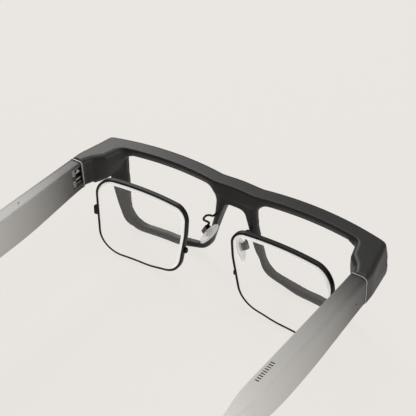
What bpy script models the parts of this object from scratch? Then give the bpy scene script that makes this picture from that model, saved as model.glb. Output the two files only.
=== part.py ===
"""Smart glasses with a see-through display in each lens and clip-on prescription inserts.

Frame of the part: +X is the wearer's left, +Y runs back to the temple tips, +Z is up, and the
glasses stand on the flats under the rims and the temple tips. Everything is first placed from a
datum on the outer front corner of the brow; one empty then moves the whole to the origin below
the middle of the bounding box. Sizes are in millimetres and MM turns them into metres.
"""

import math

import bmesh
import bpy
from mathutils import Matrix, Vector

MM = 0.001

# ---- driving sizes: front -------------------------------------------------------------------
HALF_WIDTH = 75.9           # outer face of an end piece, from the middle
FRONT_HEIGHT = 46.0         # top of the brow to the flats under the rims
FRONT_DEPTH = 7.0           # front to back through the brow and the rims
FRONT_BULGE = 6.8           # how far each lens field stands in front of the outer corner
LENS_FIELD_X = 33.0         # middle of a lens field
LENS_FIELD_RADIUS = 130.0   # plan radius of a lens field
BRIDGE_HALF = 11.0          # half the width of the bridge between the lens fields
BRIDGE_SWELL = 0.5
LEAN = math.tan(math.radians(4.0))   # the rims' lower edge leans towards the face
BROW_HEIGHT = 4.9           # brow above a lens opening, at the back
RIM_BOTTOM = 3.9            # rim below a lens opening
ENDPIECE_HEIGHT = 14.0
ENDPIECE_LENGTH = 23.0      # front corner to the hinge seam
NOSE_ARCH_TOP = 10.1        # brow top to the arch of the bridge
CORNER_RADIUS = 3.5         # front corner in plan
TAPER = 4.2                 # how far the end pieces draw in towards the front corners
TAPER_END = 17.0            # where they reach their full width
WALL = 1.2                  # moulded wall round the end piece pocket

# ---- driving sizes: lenses and inserts ------------------------------------------------------
RIM_DEPTH = 5.6             # front to back through the rims, below the deeper brow
RIM_SHOULDER = 7.0          # where the brow gives way to the rims, below the brow top
LENS_FLANGE = 2.8           # flange of the rim behind the display lens
LENS_BEARING = 1.5          # how far the display lens reaches past the opening in the flange
LENS_BEARING_TOP = 0.5
DISPLAY_LENS_THICKNESS = 2.2
INSERT_TRAVEL = 16.4        # how far a prescription insert floats behind its seat
INSERT_RIM_DEPTH = 2.6
INSERT_RIM_FACE = 0.8
INSERT_LENS_THICKNESS = 2.0
INSERT_OVERLAP = 1.8        # the insert reaches past the opening on its outer side
INSERT_DROP = 3.1           # and below

# ---- driving sizes: temples -----------------------------------------------------------------
TEMPLE_THICKNESS = 7.1
TEMPLE_SWELL = 1.2          # how much thicker the temple is where the speaker sits
SWELL_Y = 98.0
TEMPLE_HINGE_HEIGHT = 13.6
TEMPLE_BELLY_HEIGHT = 17.0
TEMPLE_NECK_HEIGHT = 12.2
SHELL_END = 117.5           # where the hard shell ends and the ear tip starts
TIP_END = 159.0             # back end of the ear tip
TIP_THICKNESS = 3.6
SHELL_WALL = 1.1
COVER_THICKNESS = 0.8
SEAM_GAP = 0.4
TANG = (1.6, 9.0, 4.0)      # the shell's tang in the ear tip: across, along and down
TANG_DEPTH = 3.4

# ---- driving sizes: hinges ------------------------------------------------------------------
HINGE_BACK = 5.0            # hinge axis behind the end of the end piece
HINGE_IN = 1.5              # hinge axis outside the inner face of the temple
KNUCKLE_RADIUS = 1.3
KNUCKLE_HEIGHT = 1.0
KNUCKLE_GAP = 0.2
PIN_RADIUS = 0.5
LEAF_THICKNESS = 1.0
UPPER_HINGE = 1.4           # top knuckle of the upper hinge below the brow top
LOWER_HINGE = 7.2

# ---- driving sizes: nose pads and magnets ---------------------------------------------------
ARM_ROOT = (9.7, 17.0)              # where a pad arm stands in the rim: x, depth
ARM_RADIUS = 0.5
ARM_SOCKET_DEPTH = 1.6
PAD_PIVOT = (10.4, 9.4, 21.8)       # middle of the pad's clasp: x, y, depth
PAD_HEIGHT = 13.0
PAD_WIDTH = 7.4
PAD_THICKNESS = 2.4
PAD_DROP = 0.2                      # middle of the pad below its clasp
PAD_SPLAY = 20.0                    # degrees: the pads face the nose and a little backwards
PAD_FLARE = 22.0                    # degrees: the pads stand wider at their lower end
PAD_TILT = 22.0                     # degrees: their lower end is nearer the face
CLASP = (2.4, 3.2, 3.4)             # clasp across, along and down
CLASP_SLOT = 1.8
PAD_SCREW_RADIUS = 0.4
MAGNET_RADIUS = 0.8
MAGNET_LENGTH = 1.2
LUG_DEPTH = 23.7                    # the insert's steel lug below the brow top
LUG_HEIGHT = 4.6
NOSE_LUG_X = 13.4                   # the lug that steadies the insert on its nose side
NOSE_LUG_DEPTH = 27.0

# ---- clearances -----------------------------------------------------------------------------
FIT = 0.25                  # between pieces that touch
PIN_FIT = 0.08

# ---- places worked out from the sizes -------------------------------------------------------
TEMPLE_OUTER = HALF_WIDTH
TEMPLE_INNER = HALF_WIDTH - TEMPLE_THICKNESS
TEMPLE_FRONT = ENDPIECE_LENGTH + SEAM_GAP
HINGE_X = TEMPLE_INNER + HINGE_IN
HINGE_Y = ENDPIECE_LENGTH + HINGE_BACK
SHELL_CAVITY_START = HINGE_Y + 4.0
HINGE_STACK = 3 * KNUCKLE_HEIGHT + 2 * KNUCKLE_GAP
MIDDLE_Y = (TIP_END - FRONT_BULGE) / 2      # middle of the bounding box, from the datum
OPENING_BOTTOM = FRONT_HEIGHT - RIM_BOTTOM
FAR = 100.0                                 # longer than any piece that a cutter passes through


# ---- scene helpers --------------------------------------------------------------------------
def clear_scene():
    for old in list(bpy.data.objects):
        bpy.data.objects.remove(old, do_unlink=True)


def new_collection(name):
    collection = bpy.data.collections.new(name)
    bpy.context.scene.collection.children.link(collection)
    return collection


clear_scene()
PARTS = new_collection("smart_glasses")
CUTTERS = new_collection("cutters")


def material(name, colour, roughness, metallic=0.0, alpha=1.0, transmission=0.0):
    made = bpy.data.materials.new(name)
    made.use_nodes = True
    shader = made.node_tree.nodes["Principled BSDF"]
    shader.inputs["Base Color"].default_value = (*colour, 1.0)
    shader.inputs["Roughness"].default_value = roughness
    shader.inputs["Metallic"].default_value = metallic
    shader.inputs["Alpha"].default_value = alpha
    shader.inputs["Transmission Weight"].default_value = transmission
    return made


FRAME_PLASTIC = material("frame_plastic", (0.045, 0.044, 0.042), 0.55)
INNER_PLASTIC = material("inner_plastic", (0.035, 0.034, 0.033), 0.6)
TIP_RUBBER = material("tip_rubber", (0.25, 0.25, 0.24), 0.7)
DISPLAY_GLASS = material("display_glass", (0.95, 0.96, 0.96), 0.05, transmission=0.9)
INSERT_GLASS = material("insert_glass", (0.97, 0.97, 0.96), 0.03, transmission=0.95)
BLACK_METAL = material("black_metal", (0.03, 0.03, 0.03), 0.35, metallic=0.8)
STEEL = material("steel", (0.6, 0.6, 0.6), 0.3, metallic=1.0)
SILICONE = material("silicone", (0.9, 0.9, 0.88), 0.25, transmission=0.7)
BATTERY_FOIL = material("battery_foil", (0.5, 0.5, 0.52), 0.4, metallic=0.6)
BOARD_GREEN = material("board_green", (0.02, 0.12, 0.06), 0.5)
FLEX_AMBER = material("flex_amber", (0.45, 0.2, 0.03), 0.45)
MODULE_BLACK = material("module_black", (0.02, 0.02, 0.02), 0.5)
GOLD = material("gold", (0.8, 0.55, 0.2), 0.3, metallic=1.0)
MAGNET = material("magnet", (0.4, 0.4, 0.42), 0.35, metallic=1.0)


def add_object(name, bm, finish=None):
    """Turn a bmesh in millimetres from the datum into an object in metres."""
    bmesh.ops.recalc_face_normals(bm, faces=bm.faces)
    bmesh.ops.scale(bm, vec=(MM, MM, MM), verts=bm.verts)
    mesh = bpy.data.meshes.new(name)
    bm.to_mesh(mesh)
    bm.free()
    made = bpy.data.objects.new(name, mesh)
    PARTS.objects.link(made)
    if finish is not None:
        mesh.materials.append(finish)
    return made


def make_cutter(cutter):
    PARTS.objects.unlink(cutter)
    CUTTERS.objects.link(cutter)
    cutter.hide_render = True
    cutter.display_type = "WIRE"
    return cutter


def boolean(target, cutter, operation):
    if cutter.name not in CUTTERS.objects:
        make_cutter(cutter)
    modifier = target.modifiers.new(operation.lower() + "_" + cutter.name, "BOOLEAN")
    modifier.operation = operation
    modifier.solver = "EXACT"
    modifier.object = cutter
    return target


def cut(target, *cutters):
    for cutter in cutters:
        boolean(target, cutter, "DIFFERENCE")
    return target


def join(target, *others):
    for other in others:
        boolean(target, other, "UNION")
    return target


def keep_inside(target, envelope):
    return boolean(target, envelope, "INTERSECT")


# ---- shape helpers, in millimetres: height is measured down from the brow top ---------------
def up(depth):
    """World height of a point that lies depth below the brow top."""
    return FRONT_HEIGHT - depth


def rounded(corners, steps=5):
    """An outline through (a, b, radius) corners, each turned as an arc."""
    points = []
    count = len(corners)
    for index, (a, b, radius) in enumerate(corners):
        here = Vector((a, b))
        before = Vector(corners[index - 1][:2]) - here
        after = Vector(corners[(index + 1) % count][:2]) - here
        if radius <= 0.0:
            points.append((a, b))
            continue
        half = before.angle(after) / 2
        reach = min(radius / math.tan(half), 0.49 * before.length, 0.49 * after.length)
        radius = reach * math.tan(half)
        start = here + before.normalized() * reach
        centre = here + (before.normalized() + after.normalized()).normalized() * (radius / math.sin(half))
        turn = math.pi - 2 * half
        side = 1.0 if before.x * after.y - before.y * after.x < 0 else -1.0
        count_here = max(1, min(steps, math.ceil(math.degrees(turn) / 9)))
        for step in range(count_here + 1):
            arm = Matrix.Rotation(side * turn * step / count_here, 2) @ (start - centre)
            points.append(tuple(centre + arm))
    return points


def inset(corners, distance):
    """The same corners with every edge moved inwards by distance."""
    area = sum(corners[i - 1][0] * corners[i][1] - corners[i][0] * corners[i - 1][1]
               for i in range(len(corners)))
    inward = 1.0 if area > 0 else -1.0
    moved = []
    count = len(corners)
    for index, (a, b, radius) in enumerate(corners):
        here = Vector((a, b))
        along_1 = (here - Vector(corners[index - 1][:2])).normalized()
        along_2 = (Vector(corners[(index + 1) % count][:2]) - here).normalized()
        normal_1 = Vector((-along_1.y, along_1.x)) * inward
        normal_2 = Vector((-along_2.y, along_2.x)) * inward
        middle = normal_1 + normal_2
        shift = middle * (2 * distance / middle.length_squared)
        moved.append((a + shift.x, b + shift.y, max(radius - distance, 0.0)))
    return moved


def prism(name, outline, axis, low, high, finish=None):
    """Extrude a flat outline. Axis X takes (y, depth) points, Y takes (x, depth), Z takes (x, y)."""
    place = {
        "X": lambda a, b, along: (along, a, up(b)),
        "Y": lambda a, b, along: (a, along, up(b)),
        "Z": lambda a, b, along: (a, b, up(along)),
    }[axis]
    bm = bmesh.new()
    face = bm.faces.new([bm.verts.new(place(a, b, low)) for a, b in outline])
    grown = bmesh.ops.extrude_face_region(bm, geom=[face])
    step = Vector(place(0, 0, high)) - Vector(place(0, 0, low))
    bmesh.ops.translate(bm, vec=step, verts=[v for v in grown["geom"] if isinstance(v, bmesh.types.BMVert)])
    return add_object(name, bm, finish)


def box(name, x, y, depth, finish=None):
    """A block between the pairs x, y and depth."""
    bm = bmesh.new()
    bmesh.ops.create_cube(bm, size=1.0)
    size = (x[1] - x[0], y[1] - y[0], depth[1] - depth[0])
    bmesh.ops.scale(bm, vec=size, verts=bm.verts)
    middle = ((x[0] + x[1]) / 2, (y[0] + y[1]) / 2, up((depth[0] + depth[1]) / 2))
    bmesh.ops.translate(bm, vec=middle, verts=bm.verts)
    return add_object(name, bm, finish)


def rod(name, centre, radius, length, axis="Z", segments=16, finish=None):
    """A round bar with its middle at centre (x, y, depth)."""
    bm = bmesh.new()
    bmesh.ops.create_cone(bm, cap_ends=True, segments=segments, radius1=radius, radius2=radius, depth=length)
    if axis == "X":
        bmesh.ops.rotate(bm, cent=(0, 0, 0), matrix=Matrix.Rotation(math.pi / 2, 3, "Y"), verts=bm.verts)
    if axis == "Y":
        bmesh.ops.rotate(bm, cent=(0, 0, 0), matrix=Matrix.Rotation(math.pi / 2, 3, "X"), verts=bm.verts)
    bmesh.ops.translate(bm, vec=(centre[0], centre[1], up(centre[2])), verts=bm.verts)
    return add_object(name, bm, finish)


def field_curve(x):
    """How far the front curves back at x: each lens field is an arc about its own middle.

    Between the fields the bridge swells a little to the front, as half a cosine wave.
    """
    out = max(abs(x), BRIDGE_HALF)
    arc = (out - LENS_FIELD_X) ** 2 / (2 * LENS_FIELD_RADIUS)
    swell = BRIDGE_SWELL * 0.5 * (1 + math.cos(math.pi * min(abs(x) / BRIDGE_HALF, 1.0)))
    return arc - swell


BACK_FACE = FRONT_DEPTH - FRONT_BULGE       # back of the rims at the middle of a lens field
RIM_FRONT = BACK_FACE - RIM_DEPTH


def back_face_at(x, depth):
    """Y of the rims' back face."""
    return BACK_FACE + field_curve(x) + LEAN * depth


def lug_place():
    """The insert's lug lands on the rim midway between the opening and the outer edge."""
    return HALF_WIDTH - 12.5


def curved_slab(name, front, back, x_low, x_high, leaning=True):
    """A slab that follows the lens fields, between two offsets from the datum.

    It is lofted from strips across X, and its lower edge leans towards the face.
    """
    strips = 2 * math.ceil((x_high - x_low) / 7.6)
    lean = LEAN if leaning else 0.0
    depths = (-10.0, FRONT_HEIGHT + 10.0)
    bm = bmesh.new()
    loops = []
    for index in range(strips + 1):
        x = x_low + (x_high - x_low) * index / strips
        curve = field_curve(x)
        corners = [(front, depths[0]), (back, depths[0]), (back, depths[1]), (front, depths[1])]
        loops.append([bm.verts.new((x, y + curve + lean * depth, up(depth))) for y, depth in corners])
    for loop, following in zip(loops, loops[1:]):
        for side in range(4):
            bm.faces.new((loop[side - 1], loop[side], following[side], following[side - 1]))
    bm.faces.new(loops[0])
    bm.faces.new(loops[-1])
    return add_object(name, bm)


def mirrored(source, name):
    """The right-hand twin of a finished left-hand piece."""
    depsgraph = bpy.context.evaluated_depsgraph_get()
    mesh = bpy.data.meshes.new_from_object(source.evaluated_get(depsgraph))
    mesh.name = name
    mesh.transform(source.matrix_world)
    mesh.transform(Matrix.Scale(-1.0, 4, (1, 0, 0)))
    mesh.flip_normals()
    twin = bpy.data.objects.new(name, mesh)
    PARTS.objects.link(twin)
    return twin


# ---- outlines -------------------------------------------------------------------------------
def opening_corners():
    """Lens opening of the wearer's left side, seen from the front, clockwise from the nose."""
    side = HALF_WIDTH - 15.3
    return [
        (10.2, BROW_HEIGHT, 7.0),
        (side, BROW_HEIGHT, 2.5),
        (side - 1.0, OPENING_BOTTOM, 9.0),
        (34.0, OPENING_BOTTOM, 30.0),
        (17.0, OPENING_BOTTOM - 3.4, 6.0),
        (11.4, NOSE_ARCH_TOP + 8.0, 30.0),
    ]


def seat_corners(clearance=0.0):
    """The display lens's seat, which opens to the front: wider than the opening by the bearing."""
    grown = inset(opening_corners(), clearance - LENS_BEARING)
    top = BROW_HEIGHT - LENS_BEARING_TOP + clearance
    return [(x, max(depth, top), radius) for x, depth, radius in grown]


def insert_corners():
    """Outer edge of a prescription insert: the opening's shape, larger on its outer side and below."""
    side = HALF_WIDTH - 15.3 + INSERT_OVERLAP
    bottom = OPENING_BOTTOM + INSERT_DROP
    return [
        (11.0, BROW_HEIGHT - 0.4, 8.5),
        (side - 0.5, BROW_HEIGHT - 0.4, 9.5),
        (side - 1.4, bottom, 12.0),
        (34.0, bottom, 30.0),
        (16.6, bottom - 3.9, 16.0),
        (12.0, NOSE_ARCH_TOP + 8.0, 30.0),
    ]


def front_outline():
    """Outer edge of the front: half of it as corners, the other half by symmetry."""
    half = [
        (5.0, NOSE_ARCH_TOP, 3.5),
        (8.2, NOSE_ARCH_TOP + 9.0, 20.0),
        (15.0, FRONT_HEIGHT - 5.6, 5.0),
        (32.0, FRONT_HEIGHT, 25.0),
        (HALF_WIDTH - 14.3, FRONT_HEIGHT, 12.0),
        (HALF_WIDTH - 6.9, ENDPIECE_HEIGHT, 0.0),
        (HALF_WIDTH, ENDPIECE_HEIGHT, 3.0),
        (HALF_WIDTH, 0.0, 1.2),
    ]
    return rounded(half + [(-x, depth, radius) for x, depth, radius in reversed(half)])


def endpiece_corners():
    """Plan of the left end piece, from the brow back to the hinge seam and round its inner side."""
    return [
        (HALF_WIDTH - 18.9, 0.0, 0.0),
        (HALF_WIDTH - 9.3, 0.6, 0.0),
        (HALF_WIDTH - TAPER + 0.2, 1.6, 0.0),
        (HALF_WIDTH, TAPER_END, 20.0),
        (HALF_WIDTH, ENDPIECE_LENGTH, 0.3),
        (TEMPLE_INNER, ENDPIECE_LENGTH, 0.3),
        (TEMPLE_INNER, ENDPIECE_LENGTH - 2.0, 1.5),
        (HALF_WIDTH - 8.6, ENDPIECE_LENGTH - 5.4, 3.0),
        (HALF_WIDTH - 12.9, ENDPIECE_LENGTH - 10.2, 4.0),
        (HALF_WIDTH - 15.7, 2.6, 1.0),
        (HALF_WIDTH - 18.9, 2.2, 0.0),
    ]


def temple_corners():
    """Side view of a temple shell: level on top, with a belly under the battery."""
    return [
        (TEMPLE_FRONT, 0.0, 0.6),
        (SHELL_END, 0.0, 0.4),
        (SHELL_END, TEMPLE_NECK_HEIGHT, 0.4),
        (104.0, TEMPLE_NECK_HEIGHT + 0.6, 30.0),
        (84.0, TEMPLE_BELLY_HEIGHT, 30.0),
        (60.0, TEMPLE_BELLY_HEIGHT, 30.0),
        (TEMPLE_FRONT, TEMPLE_HINGE_HEIGHT, 0.6),
    ]


def cavity_corners():
    """Side view of the hollow inside a temple shell."""
    wall = SHELL_WALL
    return [
        (SHELL_CAVITY_START, wall, 1.0),
        (SHELL_END - wall, wall, 1.0),
        (SHELL_END - wall, TEMPLE_NECK_HEIGHT - wall, 1.0),
        (104.0, TEMPLE_NECK_HEIGHT + 0.6 - wall, 30.0),
        (84.0, TEMPLE_BELLY_HEIGHT - wall, 30.0),
        (60.0, TEMPLE_BELLY_HEIGHT - wall, 30.0),
        (SHELL_CAVITY_START, TEMPLE_HINGE_HEIGHT - wall, 1.0),
    ]


def tip_corners():
    """Side view of an ear tip: it bends down behind the ear and ends on a flat."""
    start = SHELL_END + FIT
    return [
        (start, 0.0, 0.4),
        (126.0, 0.0, 18.0),
        (TIP_END, FRONT_HEIGHT - 13.0, 8.0),
        (TIP_END, FRONT_HEIGHT, 3.5),
        (TIP_END - 10.5, FRONT_HEIGHT, 2.5),
        (start + 4.0, TEMPLE_NECK_HEIGHT, 14.0),
        (start, TEMPLE_NECK_HEIGHT, 0.4),
    ]


# ---- front ----------------------------------------------------------------------------------
POCKET_FLOOR = ENDPIECE_HEIGHT - WALL
POCKET_INNER = HALF_WIDTH - 12.3                 # clear of the recess that the insert sits in
FLEX_DEPTHS = (0.8, 1.8)            # the flex channel in the brow, below its top
FLEX_BACK = 1.4                     # the flex channel behind the front face
FLEX_WIDTH = 2.0
HINGE_SLOT_X = (HINGE_X - LEAF_THICKNESS / 2 - FIT, HINGE_X + LEAF_THICKNESS / 2 + FIT)
LEAF_ROOT = 5.0                     # how far a hinge leaf reaches into the end piece


def lens_opening(name, corners, front, back):
    """A solid of the given outline through one lens field, between two offsets."""
    cutter = prism(name, rounded(corners), "Y", -FAR, FAR)
    slab = curved_slab(name + "_slab", front, back, 4.0, HALF_WIDTH - 7.9)
    return keep_inside(cutter, slab)


def pocket_outline(distance):
    """Plan of the light engine pocket, distance in from the faces of the end piece."""
    back = ENDPIECE_LENGTH - LEAF_ROOT
    return rounded(inset([
        (POCKET_INNER, -0.8, 1.5),
        (HALF_WIDTH - TAPER, 1.6, 2.5),
        (HALF_WIDTH, back, 1.5),
        (HALF_WIDTH - 8.9, back, 1.5),
        (POCKET_INNER + 1.4, ENDPIECE_LENGTH - 9.0, 4.0),
        (POCKET_INNER, 7.5, 6.0),
    ], distance))


def build_front_frame():
    frame = prism("front_frame", front_outline(), "Y", -FAR, FAR, FRAME_PLASTIC)
    slab = curved_slab("front_slab", -FRONT_BULGE, BACK_FACE, -HALF_WIDTH - 1.4, HALF_WIDTH + 1.4)
    keep_inside(frame, slab)
    corner = [
        (-HALF_WIDTH, FAR, 0.0),
        (-HALF_WIDTH, TAPER_END, 20.0),
        (TAPER - HALF_WIDTH, -0.9, CORNER_RADIUS),
        (16.3 - HALF_WIDTH, -9.5, 0.0),
        (HALF_WIDTH - 16.3, -9.5, 0.0),
        (HALF_WIDTH - TAPER, -0.9, CORNER_RADIUS),
        (HALF_WIDTH, TAPER_END, 20.0),
        (HALF_WIDTH, FAR, 0.0),
    ]
    envelope = prism("front_envelope", rounded(corner), "Z", -1.0, FRONT_HEIGHT + 1.0)
    keep_inside(frame, envelope)
    left = prism("left_endpiece_block", rounded(endpiece_corners()), "Z", 0.0, ENDPIECE_HEIGHT)
    right_corners = [(-x, y, radius) for x, y, radius in reversed(endpiece_corners())]
    right = prism("right_endpiece_block", rounded(right_corners), "Z", 0.0, ENDPIECE_HEIGHT)
    join(frame, left, right)
    brow_step = box("brow_step", (-FAR, FAR), (-FAR, FAR), (RIM_SHOULDER, 2 * FRONT_HEIGHT))
    keep_inside(brow_step, curved_slab("step_slab", -FAR, RIM_FRONT, -HALF_WIDTH - 2.0, HALF_WIDTH + 2.0))
    cut(frame, brow_step)
    arm_x, arm_depth = ARM_ROOT
    lug_x = lug_place()
    cutters = [
        lens_opening("left_lens_opening", opening_corners(), -FAR, FAR),
        lens_opening("left_lens_seat", seat_corners(), -FAR, BACK_FACE - LENS_FLANGE),
        lens_opening("left_insert_recess", inset(insert_corners(), -FIT), BACK_FACE, FAR),
        prism("left_pocket", pocket_outline(WALL), "Z", WALL, ENDPIECE_HEIGHT + 1.0),
        prism("left_cover_ledge", pocket_outline(WALL / 2), "Z", POCKET_FLOOR, ENDPIECE_HEIGHT + 1.0),
        box("left_leaf_slot", HINGE_SLOT_X,
            (ENDPIECE_LENGTH - LEAF_ROOT - FIT, ENDPIECE_LENGTH + 1.0),
            (UPPER_HINGE - FIT, LOWER_HINGE + HINGE_STACK + FIT)),
        rod("left_magnet_seat", (lug_x, back_face_at(lug_x, LUG_DEPTH), LUG_DEPTH),
            MAGNET_RADIUS + FIT, 2 * (MAGNET_LENGTH + FIT), "Y"),
        rod("left_arm_socket", (arm_x, back_face_at(arm_x, arm_depth), arm_depth),
            ARM_RADIUS + PIN_FIT, 2 * (ARM_SOCKET_DEPTH + FIT), "Y"),
        box("left_flex_bore", (HALF_WIDTH - 8.9, HALF_WIDTH - 6.9), (-1.0, 9.0), FLEX_DEPTHS),
    ]
    for cutter in cutters:
        cut(frame, cutter, mirrored(cutter, cutter.name.replace("left", "right")))
    channel = curved_slab("flex_channel_slab", -FRONT_BULGE + FLEX_BACK,
                          -FRONT_BULGE + FLEX_BACK + FLEX_WIDTH, 6.9 - HALF_WIDTH, HALF_WIDTH - 6.9)
    keep_inside(channel, box("flex_channel_height", (-FAR, FAR), (-FAR, FAR), FLEX_DEPTHS))
    cut(frame, channel)
    return frame


def lens_plate(name, corners, front, back, finish):
    """A plate of the given outline that follows a lens field."""
    plate = lens_opening(name, corners, front, back)
    plate.data.materials.append(finish)
    return plate


def build_display_lens():
    back = BACK_FACE - LENS_FLANGE - FIT
    return lens_plate("left_display_lens", seat_corners(FIT), back - DISPLAY_LENS_THICKNESS, back,
                      DISPLAY_GLASS)


def build_light_engine():
    """The projector in the end piece that feeds the display lens through its edge."""
    inner = HALF_WIDTH - 9.7
    engine = box("left_light_engine", (inner, inner + 4.6), (5.4, 13.6), (2.2, 10.6), MODULE_BLACK)
    barrel = rod("left_engine_barrel", (inner - 0.2, 7.4, 6.4), 1.5, 1.6, "X")
    return join(engine, barrel)


def build_endpiece_cover():
    outline = pocket_outline(WALL / 2 + FIT)
    return prism("left_endpiece_cover", outline, "Z", POCKET_FLOOR + FIT, ENDPIECE_HEIGHT, INNER_PLASTIC)


def build_front_flex():
    margin = FIT
    flex = curved_slab("front_flex_cable", -FRONT_BULGE + FLEX_BACK + 2 * margin,
                       -FRONT_BULGE + FLEX_BACK + FLEX_WIDTH - 2 * margin, 7.3 - HALF_WIDTH, HALF_WIDTH - 7.3)
    flex.data.materials.append(FLEX_AMBER)
    band = (FLEX_DEPTHS[0] + margin, FLEX_DEPTHS[1] - margin)
    return keep_inside(flex, box("flex_height", (-FAR, FAR), (-FAR, FAR), band))


def build_magnet():
    x = lug_place()
    middle = back_face_at(x, LUG_DEPTH) - FIT - MAGNET_LENGTH / 2
    return rod("left_frame_magnet", (x, middle, LUG_DEPTH), MAGNET_RADIUS, MAGNET_LENGTH, "Y", finish=MAGNET)


# ---- hinges ---------------------------------------------------------------------------------
def knuckle_depths(own):
    """Top of each knuckle of the front leaf, or of the temple leaf that stands between them."""
    pitch = KNUCKLE_HEIGHT + KNUCKLE_GAP
    first = [0.0, 2 * pitch] if own == "front" else [pitch]
    return [start + offset for start in (UPPER_HINGE, LOWER_HINGE) for offset in first]


def knuckle(name, top, reach):
    """One knuckle with its tongue, which runs from the axis to reach along Y."""
    middle = top + KNUCKLE_HEIGHT / 2
    disc = rod(name, (HINGE_X, HINGE_Y, middle), KNUCKLE_RADIUS, KNUCKLE_HEIGHT, segments=20)
    half = LEAF_THICKNESS / 2
    tongue = box(name + "_tongue", (HINGE_X - half, HINGE_X + half), sorted((HINGE_Y, reach)),
                 (top, top + KNUCKLE_HEIGHT))
    return join(disc, tongue)


def build_leaf(name, own, root, tip):
    """A hinge leaf: a plate between root and tip along Y, with its knuckles joined on."""
    half = LEAF_THICKNESS / 2
    depths = (UPPER_HINGE, LOWER_HINGE + HINGE_STACK)
    leaf = box(name, (HINGE_X - half, HINGE_X + half), sorted((root, tip)), depths, STEEL)
    for top in knuckle_depths(own):
        join(leaf, knuckle(name + "_knuckle_%d" % (10 * top), top, (root + tip) / 2))
    bore = rod(name + "_bore", (HINGE_X, HINGE_Y, FRONT_HEIGHT / 2), PIN_RADIUS + PIN_FIT,
               2 * FRONT_HEIGHT, segments=20)
    return cut(leaf, bore)


def build_hinge_front_leaf():
    return build_leaf("left_hinge_front_leaf", "front", ENDPIECE_LENGTH - LEAF_ROOT, ENDPIECE_LENGTH - FIT)


def build_hinge_temple_leaf():
    start = HINGE_Y + KNUCKLE_RADIUS + 3 * FIT
    return build_leaf("left_hinge_temple_leaf", "temple", start, start + 8.0)


def build_hinge_pin(place, top):
    middle = top + HINGE_STACK / 2
    return rod("left_%s_hinge_pin" % place, (HINGE_X, HINGE_Y, middle), PIN_RADIUS, HINGE_STACK, finish=STEEL)


def build_upper_pin():
    return build_hinge_pin("upper", UPPER_HINGE)


def build_lower_pin():
    return build_hinge_pin("lower", LOWER_HINGE)


def build_hinge_flex():
    """The flex cable is wound once round the axis between the two hinges."""
    low = UPPER_HINGE + HINGE_STACK + KNUCKLE_GAP
    high = LOWER_HINGE - KNUCKLE_GAP
    return rod("left_hinge_flex_coil", (HINGE_X, HINGE_Y, (low + high) / 2), KNUCKLE_RADIUS - 0.1,
               high - low, segments=20, finish=FLEX_AMBER)


# ---- nose pads ------------------------------------------------------------------------------
def pad_frame():
    """The pad's own frame at its clasp: X through it, Y along its width, Z up its height."""
    x, y, depth = PAD_PIVOT
    turn = (Matrix.Rotation(math.radians(-PAD_SPLAY), 4, "Z")
            @ Matrix.Rotation(math.radians(-PAD_FLARE), 4, "Y")
            @ Matrix.Rotation(math.radians(PAD_TILT), 4, "X"))
    return Matrix.Translation((x * MM, y * MM, up(depth) * MM)) @ turn


def in_pad_frame(made):
    """Place a piece that was modelled round the datum at depth FRONT_HEIGHT, which is world zero."""
    made.data.transform(pad_frame())
    return made


def at_clasp(z):
    """Depth that puts a local height z into the pad's frame."""
    return FRONT_HEIGHT - z


def build_pad_arm():
    across, along, down = CLASP
    arm_x, arm_depth = ARM_ROOT
    root_y = back_face_at(arm_x, arm_depth) - ARM_SOCKET_DEPTH
    wire_in_clasp = across / 2 - 0.3
    above = pad_frame() @ (MM * Vector((wire_in_clasp, 0.0, down))) / MM
    hang = pad_frame() @ (MM * Vector((wire_in_clasp, 0.0, 0.2 * down))) / MM
    route = [
        (arm_x, root_y, arm_depth),
        (arm_x, root_y + 3.4, arm_depth - 0.2),
        (arm_x + 0.4, root_y + 5.6, arm_depth - 1.8),
        (arm_x + 0.8, root_y + 7.8, arm_depth - 2.6),
        (arm_x + 0.9, root_y + 9.2, arm_depth - 1.2),
        (above.x, above.y, FRONT_HEIGHT - above.z),
        (hang.x, hang.y, FRONT_HEIGHT - hang.z),
    ]
    curve = bpy.data.curves.new("left_pad_arm_wire", "CURVE")
    curve.dimensions = "3D"
    curve.bevel_depth = ARM_RADIUS * MM
    curve.bevel_resolution = 2
    curve.use_fill_caps = True
    curve.resolution_u = 3
    spline = curve.splines.new("NURBS")
    spline.points.add(len(route) - 1)
    for point, (x, y, depth) in zip(spline.points, route):
        point.co = (x * MM, y * MM, up(depth) * MM, 1.0)
    spline.order_u = 3
    spline.use_endpoint_u = True
    wire = bpy.data.objects.new("left_pad_arm_wire", curve)
    PARTS.objects.link(wire)
    depsgraph = bpy.context.evaluated_depsgraph_get()
    mesh = bpy.data.meshes.new_from_object(wire.evaluated_get(depsgraph))
    bpy.data.objects.remove(wire, do_unlink=True)
    bm = bmesh.new()
    bm.from_mesh(mesh)
    bmesh.ops.remove_doubles(bm, verts=bm.verts, dist=0.01 * MM)
    bmesh.ops.recalc_face_normals(bm, faces=bm.faces)
    bm.to_mesh(mesh)
    bm.free()
    mesh.materials.append(STEEL)
    arm = bpy.data.objects.new("left_nose_pad_arm", mesh)
    PARTS.objects.link(arm)
    clasp = in_pad_frame(box("left_clasp", (-across / 2, across / 2), (-along / 2, along / 2),
                             (at_clasp(down / 2), at_clasp(-down / 2))))
    slot = in_pad_frame(box("left_clasp_slot", (-across, across / 2 - 0.6), (-CLASP_SLOT / 2, CLASP_SLOT / 2),
                            (at_clasp(down), at_clasp(-down))))
    bore = in_pad_frame(rod("left_clasp_bore", (0.0, 0.0, at_clasp(0.0)),
                            PAD_SCREW_RADIUS + PIN_FIT, 4 * along, "Y"))
    return cut(join(arm, clasp), slot, bore)


def build_pad_screw():
    along = CLASP[1]
    return in_pad_frame(rod("left_nose_pad_screw", (0.0, 0.0, at_clasp(0.0)), PAD_SCREW_RADIUS,
                            along, "Y", finish=STEEL))


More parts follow.
